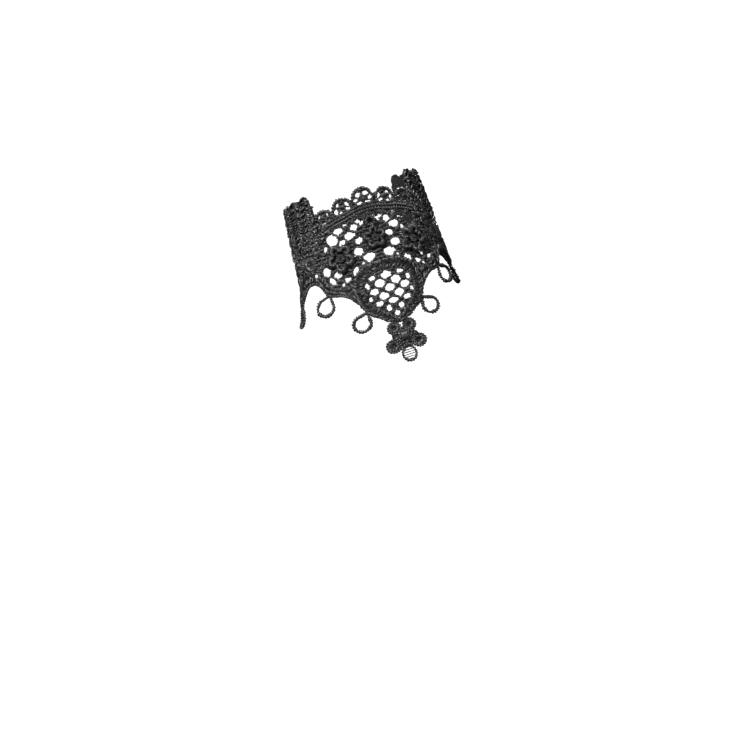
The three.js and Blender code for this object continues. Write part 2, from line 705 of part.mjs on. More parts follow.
function clasp() {
  const end = BACK_SECTIONS.at(-1);
  const rows = [-1, 0, 1].map((share) => ({
    along: BACK_CENTRE,
    low: end.low,
    high: end.high,
    shift: share * ((BACK_CENTRE - end.along) * ACROSS - GAP),
  }));
  return wall(rows, NET_LIFT, CLASP_WALL, [0.7, 1, 1, 0.7]);
}

/** A flat solid bent round the wrist, as a named mesh of one material. */
function piece(name, body, material) {
  const mesh = body.getMesh();
  const geometry = new THREE.BufferGeometry();
  geometry.setAttribute('position', new THREE.BufferAttribute(mesh.vertProperties, 3));
  geometry.setIndex(new THREE.BufferAttribute(mesh.triVerts, 1));
  bend(geometry).computeVertexNormals();
  const object = new THREE.Mesh(geometry, material);
  object.name = name;
  return object;
}

const cordThread = new THREE.MeshStandardMaterial({ color: 0x17171a, roughness: 0.55, metalness: 0 });
const netThread = new THREE.MeshStandardMaterial({ color: 0x131315, roughness: 0.65, metalness: 0 });
const satinThread = new THREE.MeshStandardMaterial({ color: 0x1a1a1e, roughness: 0.45, metalness: 0 });
const claspMetal = new THREE.MeshStandardMaterial({ color: 0x0e0e10, roughness: 0.4, metalness: 0 });

const cuff = new THREE.Group();
cuff.add(piece('scallop_edging', scallopEdging(), netThread));
cuff.add(piece('heading_cord', headingCord(), cordThread));
cuff.add(piece('front_net', frontNet(), netThread));
cuff.add(piece('fan_net', fanNet(), netThread));
cuff.add(piece('fan_border', fanBorder(), cordThread));
cuff.add(piece('lower_border_right', lowerBorder(1), cordThread));
cuff.add(piece('lower_border_left', lowerBorder(-1), cordThread));
cuff.add(piece('palmette_right', palmette(1), satinThread));
cuff.add(piece('palmette_left', palmette(-1), satinThread));
cuff.add(piece('pendant_flower', pendant(), satinThread));
for (const row of ROSETTES) {
  cuff.add(piece(row.name, rosette(row), satinThread));
}
cuff.add(piece('back_band_right', backBand(1), netThread));
cuff.add(piece('back_band_left', backBand(-1), netThread));
cuff.add(piece('clasp', clasp(), claspMetal));

export default cuff;
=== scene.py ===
"""A black guipure lace cuff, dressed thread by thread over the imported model.

The lace is worked on a flat chart in millimetres: x runs along the cuff to the right of the
middle of the front, y runs up the wrist and z is the distance out from the skin. Every finished
mesh is then bent round the empty wrist, as the solids of the model are.
"""
import logging
import math
from dataclasses import dataclass, field, replace
from enum import Enum

import bmesh
import bpy
import numpy as np
from mathutils import Matrix, Vector


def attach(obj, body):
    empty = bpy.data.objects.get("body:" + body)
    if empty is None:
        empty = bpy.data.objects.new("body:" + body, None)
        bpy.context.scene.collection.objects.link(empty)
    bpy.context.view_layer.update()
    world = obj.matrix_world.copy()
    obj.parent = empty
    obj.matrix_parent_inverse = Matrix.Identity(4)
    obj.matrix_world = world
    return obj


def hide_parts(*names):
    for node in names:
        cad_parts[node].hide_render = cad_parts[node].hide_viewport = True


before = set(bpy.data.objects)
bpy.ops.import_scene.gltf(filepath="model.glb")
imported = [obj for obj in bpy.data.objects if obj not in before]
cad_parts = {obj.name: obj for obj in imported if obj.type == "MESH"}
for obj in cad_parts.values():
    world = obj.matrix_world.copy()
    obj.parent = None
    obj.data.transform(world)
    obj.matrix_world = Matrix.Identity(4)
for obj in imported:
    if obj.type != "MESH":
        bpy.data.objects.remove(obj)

log = logging.getLogger("lace_cuff")

MM = 0.001
THREAD_CORNERS = 4
# Distances from the skin between which a net's padding lies, in millimetres.
NET_SKIN = 0.45
NET_FACE = 0.95


class Side(Enum):
    """The two halves of the cuff, as one looks at its front."""

    RIGHT = 1
    LEFT = -1


@dataclass
class Wrist:
    """The empty wrist that the flat lace is bent round, with the same sizes as the model's."""

    half_width: float = 29.3
    half_depth: float = 21.7
    taper: float = 0.078
    thumb_side_spread: float = 0.26
    outer_side_spread: float = 0.08
    spread_line: float = 8.0
    wall: float = 2.0
    stitches_round: float = 161.0
    divisions: int = 1440

    def __post_init__(self) -> None:
        """Measures the wrist's girth into a table of lengths."""
        self.turns = np.linspace(0.0, 1.0, self.divisions + 1)
        points = self._ellipse(self.turns)
        steps = np.linalg.norm(np.diff(points, axis=0), axis=1)
        self.lengths = np.concatenate([[0.0], np.cumsum(steps)])
        self.girth = float(self.lengths[-1])
        self.across = self.girth / self.stitches_round

    def _ellipse(self, turns: np.ndarray) -> np.ndarray:
        """Points on the wrist's outline at shares of a full turn from the middle of the front."""
        angle = 2 * math.pi * turns - math.pi / 2
        return np.stack([self.half_width * np.cos(angle), self.half_depth * np.sin(angle)], axis=-1)

    def bend(self, flat: np.ndarray) -> np.ndarray:
        """Bends points of the flat chart round the wrist.

        Args:
            flat: Rows of along, up and out, in millimetres.

        Returns:
            The same points in the model's frame, in metres.
        """
        along, up, out = flat[:, 0], flat[:, 1], flat[:, 2]
        turn = np.interp(np.mod(along, self.girth), self.lengths, self.turns)
        foot = self._ellipse(turn)
        away = foot / np.array([self.half_width**2, self.half_depth**2])
        away /= np.linalg.norm(away, axis=1, keepdims=True)
        taper = 1 - self.taper * up / self.half_width
        side = np.abs(foot[:, 0]) / self.half_width
        spread = np.where(foot[:, 0] < 0, self.thumb_side_spread, self.outer_side_spread)
        below = np.maximum(0.0, -self.spread_line - up)
        lift = out - self.wall + spread * below * side**8
        level = foot * taper[:, None] + away * lift[:, None]
        return np.column_stack([level, up]) * MM


@dataclass(frozen=True)
class Gap:
    """An oval gap in the lace: its middle and size in stitches, and its lean in degrees."""

    along: float
    up: float
    width: float
    height: float
    lean: float = 0.0

    def on(self, side: Side) -> "Gap":
        """The same gap on one half of the cuff."""
        return replace(self, along=self.along * side.value, lean=self.lean * side.value)

    def outline(self, across: float, grow: float = 0.0, corners: int = 20) -> np.ndarray:
        """Points round the gap's rim.

        Args:
            across: Millimetres in a stitch along the cuff.
            grow: How far outside the rim the points lie, in millimetres.
            corners: Number of points.

        Returns:
            Rows of along and up, in millimetres.
        """
        angle = np.linspace(0, 2 * math.pi, corners, endpoint=False)
        x = np.cos(angle) * (self.width / 2 + grow)
        y = np.sin(angle) * (self.height / 2 + grow)
        lean = math.radians(self.lean)
        turned = np.stack(
            [x * math.cos(lean) - y * math.sin(lean), x * math.sin(lean) + y * math.cos(lean)],
            axis=-1,
        )
        return turned * [across, 1] + [self.along * across, self.up]

    def clearance(self, points: np.ndarray, across: float) -> np.ndarray:
        """How far points lie outside the gap's rim, less than zero inside it.

        Args:
            points: Rows of along and up, in millimetres.
            across: Millimetres in a stitch along the cuff.

        Returns:
            One distance for each point, in millimetres.
        """
        away = (points - [self.along * across, self.up]) / [across, 1]
        lean = -math.radians(self.lean)
        x = away[:, 0] * math.cos(lean) - away[:, 1] * math.sin(lean)
        y = away[:, 0] * math.sin(lean) + away[:, 1] * math.cos(lean)
        share = np.hypot(x / (self.width / 2), y / (self.height / 2))
        reach = np.hypot(x, y)
        return reach - reach / np.maximum(share, 1e-6)


def both_sides(gaps: tuple[Gap, ...]) -> list[Gap]:
    """A table of gaps with its mirror image; gaps on the middle line are kept once."""
    return [*gaps, *(gap.on(Side.LEFT) for gap in gaps if gap.along > 0)]


def smooth_line(points: np.ndarray, step: float, closed: bool = False) -> np.ndarray:
    """A smooth line through points, with evenly spaced places.

    Args:
        points: Rows of two or three coordinates, in millimetres.
        step: Wanted distance between places, in millimetres.
        closed: Whether the line runs back to its start.

    Returns:
        Rows of coordinates; the first isn't repeated at the end of a closed line.
    """
    points = np.asarray(points, dtype=float)
    if closed:
        knots = np.vstack([points[-1], points, points[:2]])
    else:
        knots = np.vstack([2 * points[0] - points[1], points, 2 * points[-1] - points[-2]])
    share = np.linspace(0, 1, 12, endpoint=False)[:, None]
    spans = []
    for before, start, end, after in zip(knots, knots[1:], knots[2:], knots[3:]):
        spans.append(
            0.5
            * (
                2 * start
                + (end - before) * share
                + (2 * before - 5 * start + 4 * end - after) * share**2
                + (3 * start - before - 3 * end + after) * share**3
            )
        )
    line = np.vstack([*spans, points[:1] if closed else points[-1:]])
    return even_line(line, step, closed)


def even_line(line: np.ndarray, step: float, closed: bool = False) -> np.ndarray:
    """The same line with its places spaced evenly.

    Args:
        line: Rows of coordinates from its start to its end.
        step: Wanted distance between places, in millimetres.
        closed: Whether the last row repeats the first and is left out.

    Returns:
        Rows of coordinates.
    """
    lengths = np.concatenate([[0], np.cumsum(np.linalg.norm(np.diff(line, axis=0), axis=1))])
    count = max(3, round(lengths[-1] / step))
    at = np.linspace(0, lengths[-1], count + 1)
    even = np.stack([np.interp(at, lengths, line[:, axis]) for axis in range(line.shape[1])], axis=-1)
    return even[:-1] if closed else even


def same_count(line: np.ndarray, count: int) -> np.ndarray:
    """The same line read at `count` evenly spaced places."""
    lengths = np.concatenate([[0], np.cumsum(np.linalg.norm(np.diff(line, axis=0), axis=1))])
    at = np.linspace(0, lengths[-1], count)
    return np.stack([np.interp(at, lengths, line[:, axis]) for axis in range(line.shape[1])], axis=-1)


def inside(points: np.ndarray, outline: np.ndarray) -> np.ndarray:
    """Whether each point lies inside a closed outline."""
    found = np.zeros(len(points), dtype=bool)
    for start, end in zip(outline, np.roll(outline, -1, axis=0)):
        crosses = (start[1] > points[:, 1]) != (end[1] > points[:, 1])
        slope = (end[0] - start[0]) / ((end[1] - start[1]) or 1e-9)
        found ^= crosses & (points[:, 0] < slope * (points[:, 1] - start[1]) + start[0])
    return found


def lifted(points: np.ndarray, out: float) -> np.ndarray:
    """Chart points with the same distance from the skin added to each."""
    return np.column_stack([points, np.full(len(points), out)])


def realised(curve: bpy.types.Curve) -> bpy.types.Mesh:
    """The mesh that a curve makes, with the curve itself removed."""
    holder = bpy.data.objects.new("holder", curve)
    bpy.context.scene.collection.objects.link(holder)
    graph = bpy.context.evaluated_depsgraph_get()
    mesh = bpy.data.meshes.new_from_object(holder.evaluated_get(graph))
    bpy.data.objects.remove(holder)
    bpy.data.curves.remove(curve)
    return mesh


@dataclass
class Thread:
    """One length of thread on the chart: its line, its radius at each place and its shade."""

    line: np.ndarray
    radius: np.ndarray
    tone: float
    closed: bool = False


class Skein:
    """Threads worked on the flat chart and spun into one mesh."""

    def __init__(self, seed: int) -> None:
        """Starts with no threads and its own seeded unevenness."""
        self.chance = np.random.default_rng(seed)
        self.threads: list[Thread] = []

    def stitch(self, start: np.ndarray, end: np.ndarray, width: float, rise: float) -> None:
        """Lays one short thread that arches over the ground.

        Args:
            start: Along, up and out of its first end, in millimetres.
            end: The same of its other end.
            width: Thickness of the thread.
            rise: How far its middle stands above its ends.
        """
        share = np.array([0.0, 0.22, 0.5, 0.78, 1.0])
        line = start + (end - start) * share[:, None]
        line[:, 2] += rise * (1 - (2 * share - 1) ** 2)
        radius = width / 2 * np.array([0.7, 1.0, 1.04, 1.0, 0.7])
        self.threads.append(Thread(line, radius, self.chance.uniform(0, 1)))

    def gimp(
        self,
        line: np.ndarray,
        diameter: float,
        pitch: float = 0.95,
        thread: float = 0.72,
        closed: bool = False,
    ) -> None:
        """Winds a thread closely and a little unevenly round a core, along a line.

        Args:
            line: Rows of along, up and out of the cord's middle, in millimetres.
            diameter: Thickness of the cord.
            pitch: Length of the cord that one turn takes.
            thread: Thickness of the wound thread.
            closed: Whether the cord runs back into itself.
        """
        path = smooth_line(line, pitch / 8, closed)
        count = len(path)
        if closed:
            ahead = np.roll(path, -1, axis=0) - np.roll(path, 1, axis=0)
        else:
            ahead = np.gradient(path, axis=0)
        beside = np.stack([-ahead[:, 1], ahead[:, 0]], axis=-1)
        beside /= np.maximum(np.linalg.norm(beside, axis=1, keepdims=True), 1e-9)
        turns = max(1, round(count / 8))
        share = np.arange(count) / count
        roll = self.chance.uniform(0, 2 * math.pi) + 2 * math.pi * share * turns
        swell = self.chance.normal(1, 0.2, turns + 1)
        swell[-1] = swell[0]
        reach = (diameter - thread) / 2 * np.interp(share * turns, np.arange(turns + 1), swell)
        wound = path.copy()
        wound[:, :2] += beside * (np.cos(roll) * reach)[:, None]
        wound[:, 2] += np.sin(roll) * reach
        tone = self.chance.uniform(0.3, 0.8)
        plump = self.chance.normal(1, 0.16, turns + 1)
        plump[-1] = plump[0]
        radius = thread / 2 * np.interp(share * turns, np.arange(turns + 1), plump)
        core = np.full(len(path[::4]), (diameter - thread) * 0.48)
        self.threads.append(Thread(wound, radius, tone, closed))
        self.threads.append(Thread(path[::4], core, 0.0, closed))

    def petal(
        self,
        gap: Gap,
        across: float,
        out: float,
        cord: float,
        heart: float = 0.35,
        pitch: float = 0.92,
        rise: float = 0.4,
    ) -> None:
        """Rings a petal with gimp and fills it with stitches that run towards its heart.

        Args:
            gap: The petal's place, size and lean.
            across: Millimetres in a stitch along the cuff.
            out: Distance of the ring's middle from the skin.
            cord: Thickness of the ring.
            heart: Share of the petal that stays open in its middle.
            pitch: Distance between stitches at the ring.
            rise: How far the stitches stand up.
        """
        ring = gap.outline(across, grow=-cord / 2, corners=16)
        self.gimp(lifted(ring, out), cord, closed=True)
        round_it = math.pi * (gap.width + gap.height - 2 * cord) / 2
        count = max(7, round(round_it / pitch))
        middle = np.array([gap.along * across, gap.up])
        edge = gap.outline(across, grow=-cord * 0.6, corners=count)
        for spot in edge:
            spot = spot + self.chance.normal(0, 0.06, 2)
            end = middle + (spot - middle) * heart * self.chance.uniform(0.6, 1.3)
            self.stitch(np.array([*spot, out]), np.array([*end, out - 0.4]), 0.66, rise)

    def shell(self, gap: Gap, root: np.ndarray, across: float, out: float, pitch: float = 0.85) -> None:
        """Covers a petal with stitches that fan out from its root, over a heart left dark.

        Args:
            gap: The petal's place, size and lean.
            root: Along and up of the place that the petal grows from, in millimetres.
            across: Millimetres in a stitch along the cuff.
            out: Distance of the stitches' ends from the skin.
            pitch: Distance between stitches at the petal's rim.
        """
        middle = np.array([gap.along * across, gap.up])
        away = math.atan2(*(middle - root)[::-1])
        reach = gap.width / 2
        heart = middle - (middle - root) * 0.16
        count = max(7, round(math.pi * 1.5 * reach / pitch))
        for share in np.linspace(-1, 1, count):
            angle = away + share * 2.1
            unit = np.array([math.cos(angle), math.sin(angle)])
            rim = middle + unit * (reach * 1.08 + self.chance.normal(0, 0.16))
            foot = heart + unit * reach * 0.3
            width = self.chance.uniform(0.52, 0.72)
            rise = self.chance.uniform(0.5, 1.0)
            self.stitch(np.array([*rim, out - 0.3]), np.array([*foot, out + 0.3]), width, rise)

    def satin(
        self,
        first: np.ndarray,
        second: np.ndarray,
        skin: float,
        rise: float,
        slant: float = 0.0,
        pitch: float = 0.92,
        width: float = 0.76,
        gaps: list[Gap] = (),
        across: float = 1.0,
    ) -> None:
        """Fills the band between two lines with close stitches.

        Args:
            first: One edge of the band, rows of along and up, in millimetres.
            second: The other edge, in the same direction.
            skin: Distance of the stitches' ends from the skin.
            rise: How far their middles stand above that.
            slant: How far a stitch runs ahead between the edges, in millimetres.
            pitch: Distance between stitches.
            width: Thickness of each.
            gaps: Gaps that no stitch crosses.
            across: Millimetres in a stitch along the cuff, for those gaps.
        """
        edges = [np.asarray(first, dtype=float), np.asarray(second, dtype=float)]
        length = sum(np.linalg.norm(np.diff(edge, axis=0), axis=1).sum() for edge in edges) / 2
        count = max(3, round(length / pitch))
        ahead = round(slant / pitch)
        rows = [same_count(edge, count) for edge in edges]
        for i in range(max(0, -ahead), count - max(0, ahead)):
            wander = int(self.chance.integers(-1, 2))
            start, end = rows[0][i], rows[1][min(count - 1, max(0, i + ahead + wander))]
            run = end - start
            reach = np.linalg.norm(run)
            if reach < width:
                continue
            middle = ((start + end) / 2)[None]
            if any(gap.clearance(middle, across)[0] < 0.2 for gap in gaps):
                continue
            uneven = self.chance.normal(0, 0.2, 2)
            unit = run / reach
            start = start - unit * uneven[0]
            end = end + unit * uneven[1]
            depth = skin + self.chance.normal(0, 0.09)
            self.stitch(
                np.array([*start, depth]),
                np.array([*end, depth]),
                width * self.chance.uniform(0.7, 1.08),
                rise * min(1.0, reach / 3) * self.chance.uniform(0.7, 1.5),
            )

    def fill(
        self,
        outline: np.ndarray,
        gaps: list[Gap],
        across: float,
        out: float,
        pitch: float = 0.86,
        reach: float = 1.9,
        grain: float | None = None,
    ) -> None:
        """Winds short stitches over a ground, each across the bar between two gaps.

        Args:
            outline: Closed outline of the ground, in millimetres.
            gaps: The gaps in it.
            across: Millimetres in a stitch along the cuff.
            out: Distance of the stitches from the skin.
            pitch: Distance between stitches.
            reach: Length of the longest.
            grain: Direction of the stitches on open ground in radians; without it they turn from
                place to place.
        """
        low, high = outline.min(axis=0), outline.max(axis=0)
        grid = np.stack(
            np.meshgrid(np.arange(low[0], high[0], pitch), np.arange(low[1], high[1], pitch * 1.7)),
            axis=-1,
        ).reshape(-1, 2)
        grid = grid + self.chance.uniform(-0.4, 0.4, grid.shape) * pitch
        grid = grid[inside(grid, outline)]
        clear = np.stack([gap.clearance(grid, across) for gap in gaps])
        nearest = clear.argmin(axis=0)
        room = clear.min(axis=0)
        middles = np.array([[gap.along * across, gap.up] for gap in gaps])
        for spot, which, space in zip(grid, nearest, room):
            if space < 0.3:
                continue
            run = spot - middles[which]
            angle = math.atan2(run[1], run[0]) + self.chance.normal(0, 0.3)
            if space > 1.8 and grain is None:
                angle = 1.9 * math.sin(spot[0] * 0.9) + 1.7 * math.cos(spot[1] * 0.8)
            elif space > 1.8:
                angle = grain + self.chance.normal(0, 0.3)
            half = min(reach / 2, space + 0.25) * self.chance.uniform(0.8, 1.1)
            unit = np.array([math.cos(angle), math.sin(angle), 0])
            at = np.array([*spot, out + self.chance.normal(0, 0.09)])
            self.stitch(at - unit * half, at + unit * half, 0.7 * self.chance.uniform(0.8, 1.15), 0.3)

    def rims(self, gaps: list[Gap], across: float, diameter: float, out: float) -> None:
        """Lays a fine wound cord round each gap.

        Args:
            gaps: The gaps.
            across: Millimetres in a stitch along the cuff.
            diameter: Thickness of the cord.
            out: Distance of its middle from the skin.
        """
        for gap in gaps:
            ring = gap.outline(across, grow=diameter / 2 - 0.02)
            ring = ring + self.chance.normal(0, 0.14, ring.shape)
            self.gimp(lifted(ring, out), diameter * 1.25, 0.95, 0.66, closed=True)

    def knot(
        self,
        middle: tuple[float, float],
        size: tuple[float, float],
        lean: float,
        out: float,
        rise: float,
    ) -> None:
        """Winds a small shiny knot of close stitches.

        Args:
            middle: Its place on the chart, in millimetres.
            size: Its width across the stitches and its height along them.
            lean: Turn of its stitches in degrees, 0 for upright ones.
            out: Distance of its foot from the skin.
            rise: How far it stands up.
        """
        turn = math.radians(lean)
        count = max(3, round(size[0] / 0.45))
        for share in np.linspace(-0.88, 0.88, count):
            half = size[1] / 2 * math.sqrt(1 - share**2)
            across = np.array([math.cos(turn), math.sin(turn)]) * share * size[0] / 2
            upright = np.array([-math.sin(turn), math.cos(turn)]) * half
            centre = np.array(middle) + across
            lift = rise * math.sqrt(1 - share**2)
            self.stitch(
                np.array([*(centre - upright), out]),
                np.array([*(centre + upright), out]),
                0.54,
                lift,
            )

    def _spun(self) -> bpy.types.Mesh:
        """Spins the threads into a mesh on the flat chart."""
        curve = bpy.data.curves.new("threads", "CURVE")
        curve.dimensions = "3D"
        curve.twist_mode = "Z_UP"
        curve.bevel_depth = 1.0
        curve.bevel_resolution = 0
        for thread in self.threads:
            spline = curve.splines.new("POLY")
            spline.points.add(len(thread.line) - 1)
            places = np.column_stack([thread.line, np.ones(len(thread.line))])
            spline.points.foreach_set("co", places.ravel())
            spline.points.foreach_set("radius", thread.radius)
            spline.use_cyclic_u = thread.closed
        return realised(curve)

    def mesh(self, name: str, wrist: Wrist) -> bpy.types.Mesh:
        """Spins every thread and bends it round the wrist.

        Args:
            name: Name of the mesh.
            wrist: The wrist.

        Returns:
            The mesh, with each thread's shade in the attribute strand_tone.
        """
        spun = self._spun()
        joined = bmesh.new()
        joined.from_mesh(spun)
        bpy.data.meshes.remove(spun)
        open_ends = [edge for edge in joined.edges if edge.is_boundary]
        bmesh.ops.holes_fill(joined, edges=open_ends, sides=THREAD_CORNERS)
        mesh = bpy.data.meshes.new(name)
        joined.to_mesh(mesh)
        joined.free()
        counts = [len(thread.line) * THREAD_CORNERS for thread in self.threads]
        tones = np.repeat([thread.tone for thread in self.threads], counts)
        attribute = mesh.attributes.new("strand_tone", "FLOAT", "POINT")
        attribute.data.foreach_set("value", tones)
        bend_mesh(mesh, wrist)
        mesh.shade_smooth()
        return mesh


def bend_mesh(mesh: bpy.types.Mesh, wrist: Wrist) -> None:
    """Bends a mesh from the flat chart round the wrist."""
    flat = np.empty(len(mesh.vertices) * 3)
    mesh.vertices.foreach_get("co", flat)
    mesh.vertices.foreach_set("co", wrist.bend(flat.reshape(-1, 3)).ravel())
    mesh.update()


@dataclass
class Underlay:
    """The flat padding under the stitches of one piece."""

    outline: np.ndarray
    gaps: list[np.ndarray]
    skin: float
    face: float
    cell: float = 0.5

    def mesh(self, name: str) -> tuple[bpy.types.Mesh, float]:
        """Cuts the outline and the gaps out of a fine grid and gives it its thickness.

        Args:
            name: Name of the mesh.

        Returns:
            The flat mesh and its flat area in square millimetres.
        """
        low, high = self.outline.min(axis=0), self.outline.max(axis=0)
        counts = np.ceil((high - low) / self.cell).astype(int)
        sheet = bmesh.new()
        bmesh.ops.create_grid(sheet, x_segments=counts[0], y_segments=counts[1], size=0.5)
        bmesh.ops.scale(sheet, vec=(*(high - low), 1), verts=sheet.verts)
        bmesh.ops.translate(sheet, vec=(*(high + low) / 2, 0), verts=sheet.verts)
        middles = np.array([face.calc_center_median()[:2] for face in sheet.faces])
        kept = inside(middles, self.outline)
        for gap in self.gaps:
            kept &= ~inside(middles, gap)
        waste = [face for face, keep in zip(sheet.faces, kept) if not keep]
        bmesh.ops.delete(sheet, geom=waste, context="FACES")
        for _ in range(2):
            rim = [vert for vert in sheet.verts if vert.is_boundary]
            bmesh.ops.smooth_vert(
                sheet, verts=rim, factor=0.4, use_axis_x=True, use_axis_y=True, use_axis_z=False
            )
        area = sum(face.calc_area() for face in sheet.faces)
        thick = self.face - self.skin
        bmesh.ops.solidify(sheet, geom=sheet.faces[:], thickness=thick)
        bmesh.ops.recalc_face_normals(sheet, faces=sheet.faces)
        drop = self.skin - min(vert.co.z for vert in sheet.verts)
        bmesh.ops.translate(sheet, vec=(0, 0, drop), verts=sheet.verts)
        flat = bpy.data.meshes.new(name)
        sheet.to_mesh(flat)
        sheet.free()
        return flat, area


class Paint:
    """A node tree, with short ways to add and join its nodes."""

    def __init__(self, tree: bpy.types.NodeTree) -> None:
        """Takes up the tree."""
        self.tree = tree

    def add(self, kind: str, inputs: dict | None = None, **settings: object) -> bpy.types.Node:
        """Adds a node.

        Args:
            kind: Its type.
            inputs: Values of its inputs, by name.
            **settings: Values of its own settings.

        Returns:
            The node.
        """
        node = self.tree.nodes.new(kind)
        for name, value in settings.items():
            setattr(node, name, value)
        for name, value in (inputs or {}).items():
            node.inputs[name].default_value = value
        return node

    def join(self, *wires: tuple) -> None:
        """Joins nodes, each wire a node, its output, the next node and its input."""
        for source, output, target, socket in wires:
            self.tree.links.new(source.outputs[output], target.inputs[socket])


def blank_material(name: str) -> tuple[bpy.types.Material, Paint, bpy.types.Node]:
    """A new material, its paint and its shader."""
    material = bpy.data.materials.new(name)
    material.use_nodes = True
    return material, Paint(material.node_tree), material.node_tree.nodes["Principled BSDF"]


class FibreShade:
    """The shader group that every thread shares: its shade, gloss and fibres."""

    name = "thread_fibre"
    inputs = (
        ("Dark", "NodeSocketColor", (0.01, 0.01, 0.011, 1)),
        ("Light", "NodeSocketColor", (0.03, 0.03, 0.034, 1)),
        ("Roughness", "NodeSocketFloat", 0.45),
        ("Unevenness", "NodeSocketFloat", 0.15),
    )
    outputs = (
        ("Color", "NodeSocketColor"),
        ("Roughness", "NodeSocketFloat"),
        ("Height", "NodeSocketFloat"),
    )
    patch_scale = 260
    fibre_scale = 5200

    @classmethod
    def tree(cls) -> bpy.types.NodeTree:
        """The group, built the first time that it is asked for."""
        made = bpy.data.node_groups.get(cls.name)
        if made:
            return made
        tree = bpy.data.node_groups.new(cls.name, "ShaderNodeTree")
        for name, kind, default in cls.inputs:
            socket = tree.interface.new_socket(name, in_out="INPUT", socket_type=kind)
            socket.default_value = default
        for name, kind in cls.outputs:
            tree.interface.new_socket(name, in_out="OUTPUT", socket_type=kind)
        paint = Paint(tree)
        given = paint.add("NodeGroupInput")
        result = paint.add("NodeGroupOutput")
        place = paint.add("ShaderNodeTexCoord")
        tone = paint.add("ShaderNodeAttribute", attribute_name="strand_tone")
        patches = paint.add("ShaderNodeTexNoise", {"Scale": cls.patch_scale, "Detail": 3})
        fibres = paint.add("ShaderNodeTexNoise", {"Scale": cls.fibre_scale, "Detail": 2})
        both = paint.add("ShaderNodeMath", operation="MULTIPLY_ADD")
        both.inputs[1].default_value = 0.7
        share = paint.add("ShaderNodeMath", operation="MULTIPLY", use_clamp=True)
        share.inputs[1].default_value = 0.62
        shade = paint.add("ShaderNodeMix", data_type="RGBA")
        worn = paint.add("ShaderNodeMath", operation="SUBTRACT")
        gloss = paint.add("ShaderNodeMath", operation="MULTIPLY_ADD")
        paint.join(
            (place, "Object", patches, "Vector"),
            (place, "Object", fibres, "Vector"),
            (patches, "Fac", both, 0),
            (tone, "Fac", both, 2),
            (both, 0, share, 0),
            (share, 0, shade, "Factor"),
            (given, "Dark", shade, 6),
            (given, "Light", shade, 7),
            (fibres, "Fac", worn, 0),
            (tone, "Fac", worn, 1),
            (worn, 0, gloss, 0),
            (given, "Unevenness", gloss, 1),
            (given, "Roughness", gloss, 2),
            (shade, 2, result, "Color"),
            (gloss, 0, result, "Roughness"),
            (fibres, "Fac", result, "Height"),
        )
        return tree


@dataclass(frozen=True)
class ThreadFinish:
    """A black lustrous thread."""

    name: str
    slot: str
    dark: tuple[float, float, float] = (0.0018, 0.0017, 0.0019)
    light: tuple[float, float, float] = (0.013, 0.0125, 0.0138)
    roughness: float = 0.42
    unevenness: float = 0.2
    relief: float = 0.00004
    specular: float = 0.45

    def fibre(self, paint: Paint) -> bpy.types.Node:
        """Adds the shared fibre group with this finish's shades."""
        fibre = paint.add("ShaderNodeGroup", node_tree=FibreShade.tree())
        fibre.inputs["Dark"].default_value = (*self.dark, 1)
        fibre.inputs["Light"].default_value = (*self.light, 1)
        fibre.inputs["Roughness"].default_value = self.roughness
        fibre.inputs["Unevenness"].default_value = self.unevenness
        return fibre

    def surface(self, paint: Paint, fibre: bpy.types.Node) -> bpy.types.Node:
        """Adds the relief of the thread's own fibres."""
        relief = paint.add("ShaderNodeBump", {"Distance": self.relief, "Strength": 0.8})
        paint.join((fibre, "Height", relief, "Height"))
        return relief

    def material(self) -> bpy.types.Material:
        """The finish as a material, built the first time that it is asked for."""
        made = bpy.data.materials.get(self.name)
        if made:
            return made
        material, paint, shader = blank_material(self.name)
        fibre = self.fibre(paint)
        relief = self.surface(paint, fibre)
        paint.join(
            (fibre, "Color", shader, "Base Color"),
            (fibre, "Roughness", shader, "Roughness"),
            (relief, "Normal", shader, "Normal"),
        )
        shader.inputs["Specular IOR Level"].default_value = self.specular
        return material


@dataclass(frozen=True)
class UnderlayFinish(ThreadFinish):
    """The crossed stitching under the threads, which shows between them and on the inside; the shades
    it is given are darker than the threads', painted shade in the grooves between the stitches.
    """

    bump_scale: float = 1900.0
    bump_squeeze: tuple[float, float, float] = (1.0, 1.0, 0.45)

    def surface(self, paint: Paint, fibre: bpy.types.Node) -> bpy.types.Node:
        """Adds the relief of upright stitches close together."""
        place = paint.add("ShaderNodeTexCoord")
        squeeze = paint.add("ShaderNodeMapping", {"Scale": self.bump_squeeze})
        bumps = paint.add("ShaderNodeTexVoronoi", {"Scale": self.bump_scale})
        relief = paint.add("ShaderNodeBump", {"Distance": self.relief, "Strength": 0.9}, invert=True)
        paint.join(
            (place, "Object", squeeze, "Vector"),
            (squeeze, "Vector", bumps, "Vector"),
            (bumps, "Distance", relief, "Height"),
        )
        return relief


NET_YARN = ThreadFinish("net_yarn", "net_thread")
CORD_YARN = ThreadFinish("cord_yarn", "cord_thread", roughness=0.38)
SATIN_YARN = ThreadFinish("satin_yarn", "satin_thread", roughness=0.35, light=(0.02, 0.0193, 0.021))
# The padding is real, but its shades, darker than the threads', are painted shade where it shows in the
# grooves between the stitches.
UNDERSTITCHING_WITH_GROOVE_SHADE = UnderlayFinish(
    "understitching_groove_shade",
    "net_thread",
    dark=(0.002, 0.002, 0.0023),
    light=(0.01, 0.0095, 0.011),
    roughness=0.5,
    unevenness=0.15,
    relief=0.0003,
    specular=0.2,
)


